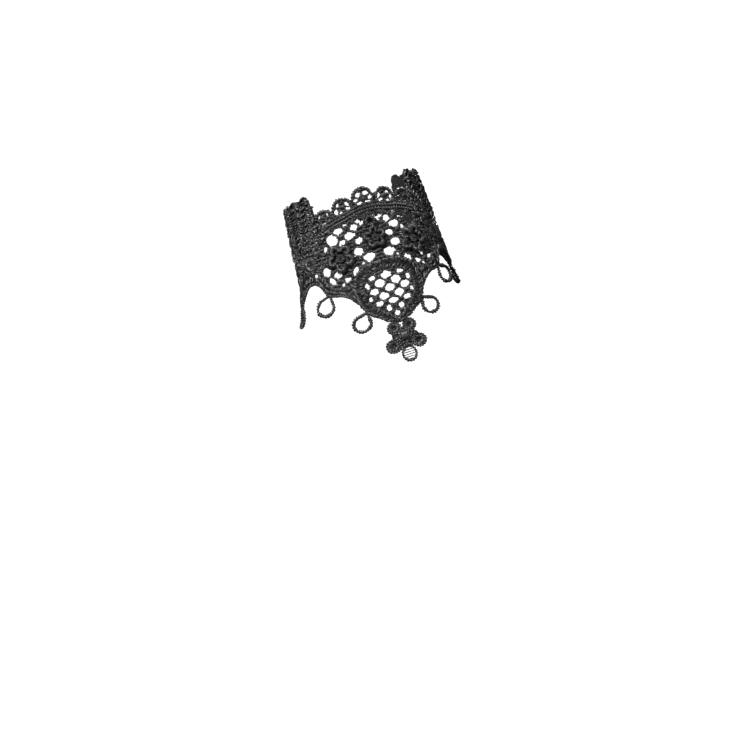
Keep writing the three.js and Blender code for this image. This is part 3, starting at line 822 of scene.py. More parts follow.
@dataclass(frozen=True)
class ClaspFinish:
    """The dull black moulding of the clasp."""

    name: str = "clasp_moulding"
    grain_scale: float = 2600.0

    def material(self) -> bpy.types.Material:
        """The finish as a material."""
        material, paint, shader = blank_material(self.name)
        place = paint.add("ShaderNodeTexCoord")
        grain = paint.add("ShaderNodeTexNoise", {"Scale": self.grain_scale, "Detail": 4})
        wear = paint.add("ShaderNodeMapRange", {"To Min": 0.3, "To Max": 0.55})
        shade = paint.add("ShaderNodeValToRGB")
        shade.color_ramp.elements[0].color = (0.008, 0.008, 0.009, 1)
        shade.color_ramp.elements[1].color = (0.02, 0.02, 0.022, 1)
        relief = paint.add("ShaderNodeBump", {"Distance": 0.00004})
        paint.join(
            (place, "Object", grain, "Vector"),
            (grain, "Fac", wear, "Value"),
            (grain, "Fac", shade, "Fac"),
            (grain, "Fac", relief, "Height"),
            (shade, "Color", shader, "Base Color"),
            (wear, "Result", shader, "Roughness"),
            (relief, "Normal", shader, "Normal"),
        )
        return material


@dataclass
class LacePiece:
    """A piece of the lace: threads over an underlay, standing for one node of the model."""

    wrist: Wrist
    node: str
    yarn: ThreadFinish
    seed: int
    skein: Skein = field(init=False)
    underlays: list[Underlay] = field(init=False, default_factory=list)

    def __post_init__(self) -> None:
        """Takes up an empty skein."""
        self.skein = Skein(self.seed)

    def chart(self, rows: list[tuple[float, float]]) -> np.ndarray:
        """Rows of along and up in stitches, as millimetres."""
        return np.asarray(rows, dtype=float) * [self.wrist.across, 1]

    def pad(
        self,
        outline: np.ndarray,
        gaps: list[np.ndarray],
        skin: float = NET_SKIN,
        face: float = NET_FACE,
        cell: float = 0.5,
    ) -> None:
        """Lays a padding between two distances from the skin, as fine as its grid's cells."""
        self.underlays.append(Underlay(outline, gaps, skin, face, cell))

    def heavy_cord(self, line: np.ndarray, cord: float) -> None:
        """Winds a heavy cord, a little fuller than its solid."""
        self.skein.gimp(line, cord * 1.05, pitch=1.15, thread=0.76)

    def edge_cord(self, line: np.ndarray, cord: float) -> None:
        """Winds the coarse cord of an outer edge."""
        self.skein.gimp(line, cord * 1.08, pitch=1.05, thread=0.64)

    def picot(self, line: np.ndarray, cord: float) -> None:
        """Winds the cord of a picot, which swells with its thread, along a flat line."""
        self.skein.gimp(lifted(line, 0.3 + cord / 2), cord * 1.5, pitch=1.0, thread=0.7)

    def work(self) -> None:
        """Works the piece's threads and underlays; each piece has its own way."""
        raise NotImplementedError

    def build(self) -> bpy.types.Object:
        """Works the piece, bends it round the wrist and dresses it.

        Returns:
            The object of its threads.
        """
        self.work()
        threads = bpy.data.objects.new(f"{self.node}_threads", self.skein.mesh(self.node, self.wrist))
        threads.data.materials.append(self.yarn.material())
        bpy.context.scene.collection.objects.link(threads)
        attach(threads, "root")
        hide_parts(self.node)
        if self.underlays:
            self._lay_underlays()
        log.info("%s: %d faces", threads.name, len(threads.data.polygons))
        return threads

    def _lay_underlays(self) -> None:
        """Joins the piece's underlays into one object."""
        joined = bmesh.new()
        area = 0.0
        for underlay in self.underlays:
            flat, own = underlay.mesh(self.node)
            joined.from_mesh(flat)
            bpy.data.meshes.remove(flat)
            area += own * MM * MM
        mesh = bpy.data.meshes.new(f"{self.node}_underlay")
        joined.to_mesh(mesh)
        joined.free()
        bend_mesh(mesh, self.wrist)
        # The padding's darker colour is painted shade in the grooves between the stitches.
        mesh.materials.append(UNDERSTITCHING_WITH_GROOVE_SHADE.material())
        sheet = bpy.data.objects.new(mesh.name, mesh)
        bpy.context.scene.collection.objects.link(sheet)
        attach(sheet, "root")
        size = np.ptp(np.vstack([underlay.outline for underlay in self.underlays]), axis=0) * MM
        log.info("%s: %.1f x %.1f mm, %.0f mm2", mesh.name, *(size / MM), area / MM**2)
        len(self.underlays) == 1 and size.min() > 0.01 and area > 0.3 * size.prod()


HEADING_LINE = ((0, 14.7), (5, 14.35), (10, 13.2), (15, 12.2), (19, 10.8), (22.5, 9.4))
PALMETTE_AXIS = 40.25


def mirrored(rows: tuple[tuple[float, float], ...]) -> list[tuple[float, float]]:
    """A table's rows from its left half through the middle to its right half."""
    left = [(-row[0], *row[1:]) for row in reversed(rows) if row[0] > 0]
    return [*left, *rows]


def heading_up(along: float) -> float:
    """Height of the heading's middle line at a place along the cuff, in stitches."""
    rows = np.array(HEADING_LINE)
    return float(np.interp(abs(along), rows[:, 0], rows[:, 1]))


@dataclass
class ScallopEdging(LacePiece):
    """Five arches of heavy cord with a wheel in each."""

    cord: float = 1.75
    # Middle, half span, foot and top of each arch, from the middle outwards.
    arches: tuple = ((0, 4.9, 18.6, 23.8), (9.3, 4.4, 17.2, 21.7), (17.9, 4.2, 15.4, 19.3))
    hubs: tuple = ((0, 18.7), (9.3, 17.9), (18.4, 16.0))
    gaps: tuple = (
        Gap(1.8, 20.7, 2.6, 1.5, -20),
        Gap(3.2, 18.9, 2.0, 1.8),
        Gap(1.8, 17.4, 2.6, 0.9),
        Gap(6.6, 18.8, 2.4, 2.1, 25),
        Gap(7.2, 16.8, 2.2, 1.0),
        Gap(11.0, 19.0, 1.6, 1.2, -30),
        Gap(12.2, 16.6, 1.8, 2.2),
        Gap(10.2, 15.9, 1.6, 0.9),
        Gap(15.6, 17.0, 1.6, 1.7),
        Gap(15.9, 15.1, 1.5, 1.1),
        Gap(18.4, 14.1, 2.2, 1.1),
        Gap(19.6, 16.4, 1.3, 1.5),
    )

    def _top(self, along: float) -> float:
        """Height of the arches at a place along the cuff."""
        heights = []
        for middle, half, foot, top in self.arches:
            share = min(1.0, abs(abs(along) - middle) / half)
            heights.append(foot + (top - foot) * math.sqrt(1 - share**2))
        return max(heights)

    def work(self) -> None:
        """Works the arches, the wheels and the strip at their foot."""
        places = np.linspace(-21.4, 21.4, 61)
        upper = [(along, self._top(along) - 0.8) for along in places]
        lower = [(along, heading_up(along) + 1.0) for along in places]
        outline = self.chart([*lower, *reversed(upper)])
        gaps = both_sides(self.gaps)
        across = self.wrist.across
        holes = [gap.outline(across, grow=0.12, corners=12) for gap in gaps]
        self.pad(outline, holes)
        self.skein.rims(gaps, across, 0.6, 1.0)
        self.skein.fill(outline, gaps, across, 1.0, reach=1.6)
        for middle, half, foot, top in self.arches:
            for side in {1, -1 if middle else 1}:
                shares = np.linspace(-0.99, 0.99, 11)
                arch = [
                    (
                        side * (middle + s * (half - 0.3)),
                        foot - 0.8 + (top - foot) * math.sqrt(1 - s**2),
                    )
                    for s in shares
                ]
                self.heavy_cord(lifted(self.chart(arch), 1.05), self.cord)
        for along, up in mirrored(self.hubs):
            self.skein.knot((along * across, up), (2.1, 2.0), 15 * np.sign(along), 1.1, 0.55)
        foot = [(along, heading_up(along) + 1.9) for along in np.linspace(-21, 21, 15)]
        self.skein.gimp(lifted(self.chart(foot), 1.05), 0.9)


@dataclass
class HeadingCord(LacePiece):
    """Two heavy cords side by side under the scallops."""

    cord: float = 1.6
    spread: float = 1.3

    def work(self) -> None:
        """Winds the two cords along the heading's line."""
        line = smooth_line(self.chart(mirrored(HEADING_LINE)), 1.2)
        ahead = np.gradient(line, axis=0)
        beside = np.stack([-ahead[:, 1], ahead[:, 0]], axis=-1)
        beside /= np.linalg.norm(beside, axis=1, keepdims=True)
        band = np.vstack([line + beside * 0.7, (line - beside * 0.7)[::-1]])
        self.pad(band, [], 0.5, 1.2)
        for side in (1, -1):
            middle = lifted(line + beside * side * self.spread / 2, 0.3 + self.cord / 2)
            self.heavy_cord(middle, self.cord)


BORDER_SECTIONS = (
    (12.7, -20.6, -12.6),
    (13.75, -19.2, -12.7),
    (15.0, -17.7, -12.8),
    (16.6, -16.4, -12.9),
    (18.6, -15.4, -12.2),
    (20.4, -15.0, -11.6),
    (22.1, -14.7, -10.4),
    (23.4, -14.3, -8.6),
    (24.4, -13.3, -7.3),
    (25.35, -11.3, -6.6),
    (25.75, -10.7, -3.2),
    (27.1, -9.1, -3.2),
    (29.0, -8.1, -3.2),
    (31.0, -7.9, -3.2),
    (33.2, -8.3, -3.2),
    (35.2, -9.5, -3.2),
    (37.0, -11.3, -3.2),
    (38.7, -13.5, -3.2),
    (39.6, -14.6, -3.2),
    (40.9, -14.6, -3.2),
    (41.8, -13.5, -3.2),
    (43.5, -11.3, -3.2),
    (45.3, -9.5, -3.2),
    (47.3, -8.3, -3.2),
    (49.5, -7.9, -3.2),
    (52.2, -7.9, -3.2),
    (54.75, -7.9, -3.2),
)
FAN_OUTLINE = (
    (0, -9.5),
    (3.6, -10.0),
    (7.0, -11.4),
    (9.2, -13.8),
    (9.5, -16.6),
    (9.0, -19.6),
    (7.4, -22.4),
    (4.6, -24.9),
    (2.2, -27.1),
    (0, -29.2),
)
FAN_BORDER_OUTLINE = (
    (0, -5.3),
    (4.9, -5.6),
    (9.4, -7.0),
    (12.1, -9.8),
    (13.2, -13.2),
    (13.4, -16.6),
    (13.1, -20.0),
    (12.0, -22.0),
    (10.8, -24.0),
    (9.3, -25.9),
    (7.5, -26.9),
    (5.9, -28.0),
    (4.9, -29.1),
    (2.6, -29.6),
    (0, -31.0),
)
STEM_LOOP = Gap(0, 9.7, 4.4, 4.6)


@dataclass
class GroundNet(LacePiece):
    """The pierced ground of the front panel."""

    rim: float = 0.78
    gaps: tuple = (
        Gap(16.9, 6.7, 4.7, 4.3, -8),
        Gap(13.6, 9.3, 4.0, 2.5, -8),
        Gap(7.0, 9.1, 2.9, 2.6, -25),
        Gap(9.4, 6.6, 4.6, 2.8, -6),
        Gap(13.0, 4.6, 3.2, 1.7, -30),
        Gap(6.4, 3.7, 3.4, 2.2, -20),
        Gap(7.7, -0.3, 4.0, 3.0),
        Gap(4.2, -3.4, 5.0, 3.3, -12),
        Gap(10.3, 11.0, 1.9, 0.9, 15),
        Gap(20.5, 4.0, 1.5, 2.4, 15),
        Gap(22.3, -4.6, 3.4, 3.3, 30),
        Gap(17.8, -6.6, 3.2, 2.9, -15),
        Gap(20.7, -8.6, 1.9, 3.4, -38),
        Gap(10.7, -7.4, 2.3, 3.4, 38),
        Gap(14.6, -9.6, 2.3, 1.7),
        Gap(16.6, -11.0, 1.7, 1.1, -25),
        Gap(6.9, -5.0, 1.8, 0.9, -30),
    )
    stem_gap: tuple = (
        (0.7, 12.6),
        (6.6, 11.9),
        (5.2, 10.5),
        (4.0, 9.3),
        (3.2, 9.2),
        (2.7, 10.9),
        (1.6, 12.0),
    )
    # Wound knots where bars cross: middle, width, height and lean.
    knots: tuple = (
        (17.8, -9.3, 2.1, 1.9, 10),
        (12.4, 7.0, 1.6, 1.8, -30),
        (10.2, 9.2, 1.5, 1.6, 20),
        (7.6, 5.4, 1.4, 1.6, -20),
        (12.0, -10.6, 1.7, 1.7, 30),
        (24.2, -6.6, 1.6, 1.8, -20),
        (10.6, 4.4, 1.6, 1.5, 40),
        (19.9, -5.4, 1.4, 1.6, 20),
    )

    def work(self) -> None:
        """Works the ground, its rims and its knots."""
        across = self.wrist.across
        sections = np.array(BORDER_SECTIONS)
        top = [(along, heading_up(along) - 0.9) for along in np.linspace(-26, 26, 41)]
        right = [*((row[0], row[2] - 0.6) for row in sections[1:10]), (26, -6.0)]
        fan = [(9.4, -7.8), (4.9, -6.4), (0, -6.1), (-4.9, -6.4), (-9.4, -7.8)]
        left = [(-along, up) for along, up in right]
        corner = [(12.5, -12.8), (11.4, -10.2)]
        other_corner = [(-11.4, -10.2), (-12.5, -12.8)]
        low = [*reversed(right), *corner, *fan, *other_corner, *left]
        outline = self.chart([*top, *low])
        gaps = both_sides(self.gaps)
        stems = [self.chart([(side * a, u) for a, u in self.stem_gap]) for side in (1, -1)]
        holes = [gap.outline(across, grow=0.2, corners=14) for gap in gaps]
        self.pad(outline, [*holes, *stems])
        self.skein.rims(gaps, across, self.rim, 0.98)
        for stem in stems:
            away = stem - stem.mean(axis=0)
            grown = stem + away / np.linalg.norm(away, axis=1, keepdims=True) * 0.5
            self.skein.gimp(lifted(grown, 0.98), self.rim, 0.88, 0.58, closed=True)
        blocked = [*gaps, Gap(3.2, 11.4, 3.4, 2.6), Gap(-3.2, 11.4, 3.4, 2.6)]
        self.skein.fill(outline, blocked, across, 1.0)
        for side in Side:
            for along, up, width, height, lean in self.knots:
                place = (side.value * along * across, up)
                self.skein.knot(place, (width, height), side.value * lean, 1.15, 0.5)


@dataclass
class FanNet(LacePiece):
    """The diagonal net of the pointed fan."""

    rim: float = 0.74
    gaps: tuple = (
        Gap(0, -11.6, 4.0, 2.8),
        Gap(5.7, -11.6, 2.8, 1.8),
        Gap(3.1, -14.3, 3.7, 3.2),
        Gap(8.1, -14.3, 1.7, 2.3),
        Gap(0, -16.8, 4.0, 2.8),
        Gap(6.0, -16.8, 3.7, 2.5),
        Gap(3.0, -19.3, 3.6, 2.8),
        Gap(8.1, -19.3, 1.2, 2.0),
        Gap(0, -21.8, 3.9, 2.3),
        Gap(5.4, -21.8, 2.9, 1.9),
        Gap(2.4, -24.3, 2.1, 2.3),
        Gap(0, -26.9, 2.0, 2.2),
    )
    knots: tuple = (
        (0, -14.2),
        (0, -19.3),
        (6.0, -14.2),
        (5.9, -19.2),
        (2.9, -11.9),
        (2.9, -16.8),
        (2.8, -21.9),
        (0, -24.2),
    )

    def work(self) -> None:
        """Works the lattice and the knots at its crossings."""
        across = self.wrist.across
        half = smooth_line(self.chart(FAN_OUTLINE), 1.0)
        outline = np.vstack([half, (half * [-1, 1])[-2:0:-1]])
        gaps = both_sides(self.gaps)
        holes = [gap.outline(across, grow=0.18, corners=14) for gap in gaps]
        self.pad(outline, holes)
        self.skein.rims(gaps, across, self.rim, 1.0)
        self.skein.fill(outline, gaps, across, 1.0, reach=1.6)
        for along, up in mirrored(self.knots):
            self.skein.knot((along * across, up), (1.5, 1.5), 20 * math.sin(up), 1.1, 0.45)


def picot_line(root: tuple, middle: tuple, width: float, height: float, cord: float) -> np.ndarray:
    """The teardrop line of a picot's cord.

    Args:
        root: Place where it leaves the border, in millimetres on the chart.
        middle: Middle of the loop.
        width: Its width over the cord.
        height: Its height over the cord.
        cord: Thickness of the cord.

    Returns:
        Rows of along and up, from the root round to the root.
    """
    across, tall = (width - cord) / 2, (height - cord) / 2
    start = math.atan2((root[1] - middle[1]) / tall, (root[0] - middle[0]) / across)
    turns = start + np.array([0.62, 1.2, 1.9, 2.6, 3.3, 3.9, 4.6, 5.2, 5.66])
    loop = np.stack([middle[0] + np.cos(turns) * across, middle[1] + np.sin(turns) * tall], axis=-1)
    return np.vstack([root, loop, root])


@dataclass
class FanBorder(LacePiece):
    """The double border round the fan, with a picot at each side."""

    edge: float = 1.4
    picot_cord: float = 1.15

    def work(self) -> None:
        """Works the edges, the herringbone between them and the picots."""
        across = self.wrist.across
        outer = smooth_line(self.chart(FAN_BORDER_OUTLINE), 0.6)
        inner = smooth_line(self.chart(FAN_OUTLINE), 0.6)
        ring = np.vstack([outer, (outer * [-1, 1])[-2:0:-1]])
        hole = np.vstack([inner, (inner * [-1, 1])[-2:0:-1]])
        self.pad(ring, [hole], 0.4, 1.15)
        count = 240
        outer, inner = same_count(outer, count), same_count(inner, count)
        centre = outer * 0.5 + inner * 0.5
        for side in (1, -1):
            flip = np.array([side, 1])
            self.skein.satin(outer * flip, centre * flip, 1.2, 0.35, slant=1.0)
            self.skein.satin(inner * flip, centre * flip, 1.2, 0.35, slant=1.0)
            edge = outer + (inner - outer) * 0.16
            self.edge_cord(lifted(edge[::8] * flip, 0.95), self.edge)
            brim = inner + (outer - inner) * 0.08
            self.skein.gimp(lifted(brim[::8] * flip, 1.1), 1.0)
            line = picot_line(
                (side * 10.7 * across, -23.6), (side * 13.6 * across, -27.4), 7.9, 7.1, self.picot_cord
            )
            self.picot(line, self.picot_cord)


@dataclass
class LowerBorder(LacePiece):
    """The border from the fan round to the back on one side, with its two picots."""

    side: Side = Side.RIGHT
    edge: float = 1.4
    picot_cord: float = 1.15
    gaps: tuple = (Gap(27.4, -4.7, 2.0, 1.2), Gap(30.9, -4.6, 1.6, 1.0))

    def work(self) -> None:
        """Works the edges, the rows between them and the picots."""
        across = self.wrist.across
        flip = np.array([self.side.value, 1])
        rows = np.array(BORDER_SECTIONS)
        low = self.chart(rows[:, [0, 1]])
        high = self.chart(rows[:, [0, 2]]) + [0, 0.5]
        gaps = [gap.on(self.side) for gap in self.gaps]
        outline = np.vstack([low, high[::-1]]) * flip
        holes = [gap.outline(across, grow=0.15, corners=12) for gap in gaps]
        self.pad(outline, holes, 0.45, 1.3)
        self.skein.rims(gaps, across, 0.7, 1.2)
        foot = smooth_line(low, 0.3)
        head = np.column_stack([foot[:, 0], np.interp(foot[:, 0], high[:, 0], high[:, 1])])
        deep = head[:, 1] - foot[:, 1]
        first = foot + np.stack([0 * deep, np.minimum(deep * 0.3, 1.2)], axis=-1)
        second = foot + np.stack([0 * deep, np.minimum(deep * 0.62, 3.4)], axis=-1)
        self.skein.satin(first * flip, second * flip, 1.3, 0.4, 0.9, gaps=gaps, across=across)
        third = foot + np.stack([0 * deep, np.minimum(deep, 6.6)], axis=-1)
        self.skein.satin(second * flip, third * flip, 1.3, 0.35, -0.9, gaps=gaps, across=across)
        tall = deep > 7.4
        for part in np.split(np.arange(len(deep)), np.flatnonzero(np.diff(tall)) + 1):
            if tall[part[0]]:
                self.skein.satin(third[part] * flip, head[part] * flip, 1.3, 0.35, 0.9)
        self.edge_cord(lifted((foot + [0, self.edge / 2])[::6] * flip, 1.0), self.edge)
        self.skein.gimp(lifted((head - [0, 0.4])[::6] * flip, 1.2), 0.9)
        for root, middle, width, height in (
            ((23.4, -13.3), (26.3, -17.4), 8.3, 7.5),
            ((PALMETTE_AXIS, -13.6), (PALMETTE_AXIS, -18.6), 6.4, 7.4),
        ):
            line = picot_line(
                tuple(np.array(root) * [across, 1] * flip),
                tuple(np.array(middle) * [across, 1] * flip),
                width,
                height,
                self.picot_cord,
            )
            self.picot(line, self.picot_cord)


@dataclass(frozen=True)
class Leaf:
    """A satin leaf of a palmette: its spine from the axis, and its half width."""

    spine: tuple
    half: float
    slant: float = 0.8
    rise: float = 0.55

    def edges(self) -> tuple[np.ndarray, np.ndarray, np.ndarray]:
        """The leaf's left edge, spine and right edge."""
        spine = smooth_line(np.array(self.spine, dtype=float), 0.4)
        ahead = np.gradient(spine, axis=0)
        beside = np.stack([-ahead[:, 1], ahead[:, 0]], axis=-1)
        beside /= np.linalg.norm(beside, axis=1, keepdims=True)
        share = np.linspace(0, 1, len(spine))
        swell = np.sqrt(np.minimum(1, (share + 0.08) / 0.4))
        tip = np.sqrt(np.maximum(0, 1 - (np.maximum(0, share - 0.78) / 0.22) ** 2))
        wide = (self.half * swell * tip)[:, None]
        return spine + beside * wide, spine, spine - beside * wide

    def rim(self, inset: float) -> np.ndarray:
        """The line of a cord round the leaf's edge, from its foot over its tip."""
        first, spine, other = self.edges()
        shrink = 1 - inset / self.half
        sides = [spine + (edge - spine) * shrink for edge in (first, other)]
        return np.vstack([sides[0][:-1:3], sides[1][-2::-3]])


@dataclass
class Palmette(LacePiece):
    """A dense palmette of satin leaves over each side of the wrist."""

    side: Side = Side.RIGHT
    sections: tuple = (
        (0, -2.9, 24.5),
        (2.8, -2.9, 24.3),
        (5.6, -2.9, 23.5),
        (7.3, -2.9, 24.9),
        (9.1, -2.9, 25.4),
        (10.9, -2.9, 25.1),
        (12.4, -2.9, 24.5),
        (13.8, -2.9, 25.6),
        (15.1, -2.9, 26.0),
        (15.6, 2.8, 25.9),
        (16.8, 4.2, 25.0),
        (17.8, 5.2, 22.3),
        (18.7, 6.0, 17.6),
        (19.7, 6.8, 13.8),
        (20.6, 7.8, 10.6),
    )
    lobes: tuple = (
        Leaf(((0, 2), (0, 13), (0, 24.2)), 4.1, slant=1.6, rise=0.7),
        Leaf(((8.4, 5), (8.8, 14), (9.6, 25.3)), 3.2, slant=2.4, rise=0.75),
        Leaf(((13.4, 10), (14.8, 17), (15.6, 25.9)), 2.5, slant=2.0, rise=0.75),
    )
    fringes: tuple = (
        Leaf(((10.6, 6), (16, 8), (21.0, 9.4)), 2.1, slant=1.8),
        Leaf(((10.9, 9), (16, 11.6), (20.2, 13.6)), 2.0, slant=1.8),
        Leaf(((12.2, 12.6), (16, 15.6), (19.0, 18.2)), 1.9, slant=1.8),
    )
    petals: tuple = (
        Gap(10.8, -0.1, 8.0, 6.6, -5),
        Gap(3.4, -0.2, 6.0, 5.6, -10),
        Gap(16.0, 4.6, 4.2, 4.6, -55),
    )

    def work(self) -> None:
        """Works the leaves of both halves over a solid underlay."""
        across = self.wrist.across
        flip = self.side.value
        rows = np.array(self.sections)
        lower = [(r[0], r[1]) for r in rows]
        upper = [(r[0], r[2]) for r in rows]
        half = [*lower, *reversed(upper)]
        right = [(PALMETTE_AXIS + a, u) for a, u in half]
        left = [(PALMETTE_AXIS - a, u) for a, u in reversed(half)]
        outline = self.chart([*right, *left]) * [flip, 1]
        self.pad(outline, [], 0.1, 1.0, cell=0.8)
        axis = PALMETTE_AXIS * across * flip
        for way in (1, -1):
            turn = np.array([way * across, 1])
            low, high = np.array([0.4, -2.4]), np.array([18.5, 22])
            field_of = np.array([low, [high[0], low[1]], high, [low[0], high[1]]]) * turn + [axis, 0]
            far = [Gap(0, -90, 1, 1)]
            self.skein.fill(field_of, far, across, 1.05, 0.95, 2.2, grain=-0.55 * way)
            for leaf in [*self.fringes, *self.lobes]:
                if way < 0 and leaf.spine[0][0] == 0:
                    continue
                one, spine, other = ((edge * turn + [axis, 0]) for edge in leaf.edges())
                columns = [one, spine, other]
                skin = 1.25
                if leaf in self.lobes:
                    columns = [one, (one + spine) / 2, spine, (other + spine) / 2, other]
                if leaf in self.lobes and leaf.spine[0][0]:
                    self.pad(np.vstack([one[::3], other[::-3]]), [], 1.0, 1.45, cell=0.8)
                    columns, skin = [one, spine, other], 1.4
                for i, (near, far_edge) in enumerate(zip(columns, columns[1:])):
                    slant = leaf.slant * (-1) ** i
                    self.skein.satin(near, far_edge, skin, leaf.rise, slant, width=0.68)
                if leaf in self.lobes:
                    self.skein.gimp(lifted(leaf.rim(0.3) * turn + [axis, 0], 1.4), 0.95)
            for petal in self.petals:
                placed = replace(
                    petal,
                    along=PALMETTE_AXIS * flip + way * petal.along,
                    lean=way * petal.lean,
                )
                self.pad(placed.outline(across, -0.3, 14), [], 1.0, 1.3, cell=0.8)
                self.skein.petal(placed, across, 1.6, 0.95, heart=0.25)


@dataclass
class PendantFlower(LacePiece):
    """Five petals of wound cord that hang from the fan's point."""

    cord: float = 1.1
    petals: tuple = (Gap(2.9, -32.4, 5.8, 5.8), Gap(4.7, -39.1, 6.3, 6.0), Gap(0, -43.1, 5.9, 6.8))
    core: tuple = ((0, -32.6), (3.6, -34.0), (4.7, -35.8), (3.4, -39.4), (1.4, -41.0))

    def work(self) -> None:
        """Works the petals' rings, their threads and the bundle in the middle."""
        across = self.wrist.across
        core = self.chart(mirrored(self.core))
        self.pad(core, [], 0.4, 1.1)
        for petal in both_sides(self.petals):
            if petal.along:
                face = petal.outline(across, grow=-self.cord * 0.6, corners=16)
                self.pad(face, [], 0.4, 0.75)
                self.skein.petal(petal, across, 0.95, self.cord * 1.2, heart=0.3)
            else:
                ring = petal.outline(across, grow=-self.cord / 2, corners=16)
                self.skein.gimp(lifted(ring, 0.95), self.cord * 1.2, closed=True)
                for up in np.arange(-45.3, -40.6, 0.9):
                    share = math.sqrt(max(0, 1 - ((up - petal.up) / (petal.height / 2)) ** 2))
                    half = share * petal.width / 2 * across - 0.3
                    self.skein.stitch(
                        np.array([-half, up, 0.8]), np.array([half, up + 0.2, 0.8]), 0.42, 0.1
                    )
        for along in (-1.2, -0.6, 0, 0.6, 1.2):
            start, end = np.array([along * 0.5, -34.0, 1.1]), np.array([along, -38.4, 1.1])
            self.skein.stitch(start, end, 0.68, 0.9)
        gaps = [Gap(petal.along, petal.up, 5, 5) for petal in both_sides(self.petals)]
        self.skein.fill(core, gaps, across, 1.1, 0.7, 1.8)


@dataclass
class Rosette(LacePiece):
    """A raised flower of five curled petals."""

    along: float = 0.0
    up: float = 3.4
    reach: float = 4.7
    turn: float = 90.0

    def work(self) -> None:
        """Works the petals, the curl in the middle and, on the middle one, the stem loop."""
        across = self.wrist.across
        centre = np.array([self.along * across, self.up])
        for i in range(5):
            angle = self.turn + 72 * i
            turn = math.radians(angle)
            unit = np.array([math.cos(turn), math.sin(turn)])
            petal = Gap(
                self.along + unit[0] * self.reach * 0.62,
                self.up + unit[1] * self.reach * 0.62,
                self.reach * 0.8,
                self.reach * 0.66,
                angle,
            )
            self.pad(petal.outline(across, -0.2, 12), [], 1.1, 1.6)
            self.skein.shell(petal, centre, across, 1.75)
        angles = np.linspace(0, 4 * math.pi, 22)
        curl = np.stack([np.cos(angles), np.sin(angles)], axis=-1) * (0.25 + angles * 0.1)[:, None]
        self.skein.gimp(lifted(centre + curl, 2.3), 0.7, 0.5, 0.4)
        heart = Gap(self.along, self.up, 3.4, 3.4)
        self.pad(heart.outline(across, 0, 10), [], 1.1, 1.8)
        if self.along == 0:
            loop = STEM_LOOP.outline(across, grow=-0.55, corners=14)
            self.skein.gimp(lifted(loop, 2.1), 1.5, closed=True)


@dataclass
class BackBand(LacePiece):
    """The plain band behind, from a palmette to the clasp."""

    side: Side = Side.RIGHT
    edge: float = 1.4
    sections: tuple = (
        (58.4, 13.2, 19.6),
        (59.6, 10.6, 18.4),
        (61.0, 9.0, 17.4),
        (62.4, 10.6, 17.0),
        (64.2, 12.3, 17.0),
        (67.0, 12.8, 17.0),
        (70.0, 12.8, 17.0),
        (73.2, 12.8, 17.0),
        (76.8, 12.8, 17.0),
    )
    gaps: tuple = (
        Gap(62.2, 13.5, 1.8, 2.4),
        Gap(66.2, 14.9, 2.6, 1.4),
        Gap(70.2, 14.9, 2.6, 1.4),
        Gap(74.2, 14.9, 2.4, 1.4),
    )

    def work(self) -> None:
        """Works the band between two edge cords."""
        across = self.wrist.across
        flip = np.array([self.side.value, 1])
        rows = np.array(self.sections)
        low = self.chart(rows[:, [0, 1]])
        high = self.chart(rows[:, [0, 2]])
        outline = np.vstack([low, high[::-1]]) * flip
        gaps = [gap.on(self.side) for gap in self.gaps]
        holes = [gap.outline(across, grow=0.2, corners=12) for gap in gaps]
        self.pad(outline, holes)
        self.skein.rims(gaps, across, 0.78, 0.98)
        self.skein.fill(outline, gaps, across, 1.0)
        for line, inward in ((low[2:], 1), (high[1:], -1)):
            edge = (line + [0, inward * self.edge / 2]) * flip
            self.edge_cord(lifted(edge, 0.3 + self.edge / 2), self.edge)


@dataclass
class Clasp:
    """The plain plate that joins the two bands behind."""

    wrist: Wrist
    along: float = 80.5
    half: float = 3.4
    low: float = 12.8
    high: float = 17.0
    skin: float = 0.3
    wall: float = 1.6

    def build(self) -> bpy.types.Object:
        """Shapes the plate, rounds its edges and bends it round the wrist.

        Returns:
            The plate.
        """
        plate = bmesh.new()
        bmesh.ops.create_cube(plate, size=1.0)
        size = (2 * self.half, self.high - self.low, self.wall)
        bmesh.ops.scale(plate, vec=size, verts=plate.verts)
        upright = [e for e in plate.edges if abs(e.verts[0].co.z - e.verts[1].co.z) > self.wall / 2]
        bmesh.ops.bevel(
            plate, geom=upright, offset=1.2, segments=5, profile=0.5, affect="EDGES", material=-1
        )
        bmesh.ops.bevel(
            plate,
            geom=plate.edges[:],
            offset=0.35,
            segments=3,
            profile=0.5,
            affect="EDGES",
            material=-1,
        )
        for x in np.arange(-self.half + 0.6, self.half, 0.7):
            everything = [*plate.verts, *plate.edges, *plate.faces]
            bmesh.ops.bisect_plane(plate, geom=everything, plane_co=(x, 0, 0), plane_no=(1, 0, 0))
        place = (self.along * self.wrist.across, (self.low + self.high) / 2, self.skin + self.wall / 2)
        bmesh.ops.translate(plate, vec=place, verts=plate.verts)
        bmesh.ops.recalc_face_normals(plate, faces=plate.faces)
        mesh = bpy.data.meshes.new("clasp_plate")
        plate.to_mesh(mesh)
        plate.free()
        bend_mesh(mesh, self.wrist)
        mesh.shade_smooth()
        mesh.materials.append(ClaspFinish().material())
        piece = bpy.data.objects.new("clasp_plate", mesh)
        bpy.context.scene.collection.objects.link(piece)
        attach(piece, "root")
        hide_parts("clasp")
        log.info("clasp_plate: %d faces", len(mesh.polygons))
        return piece


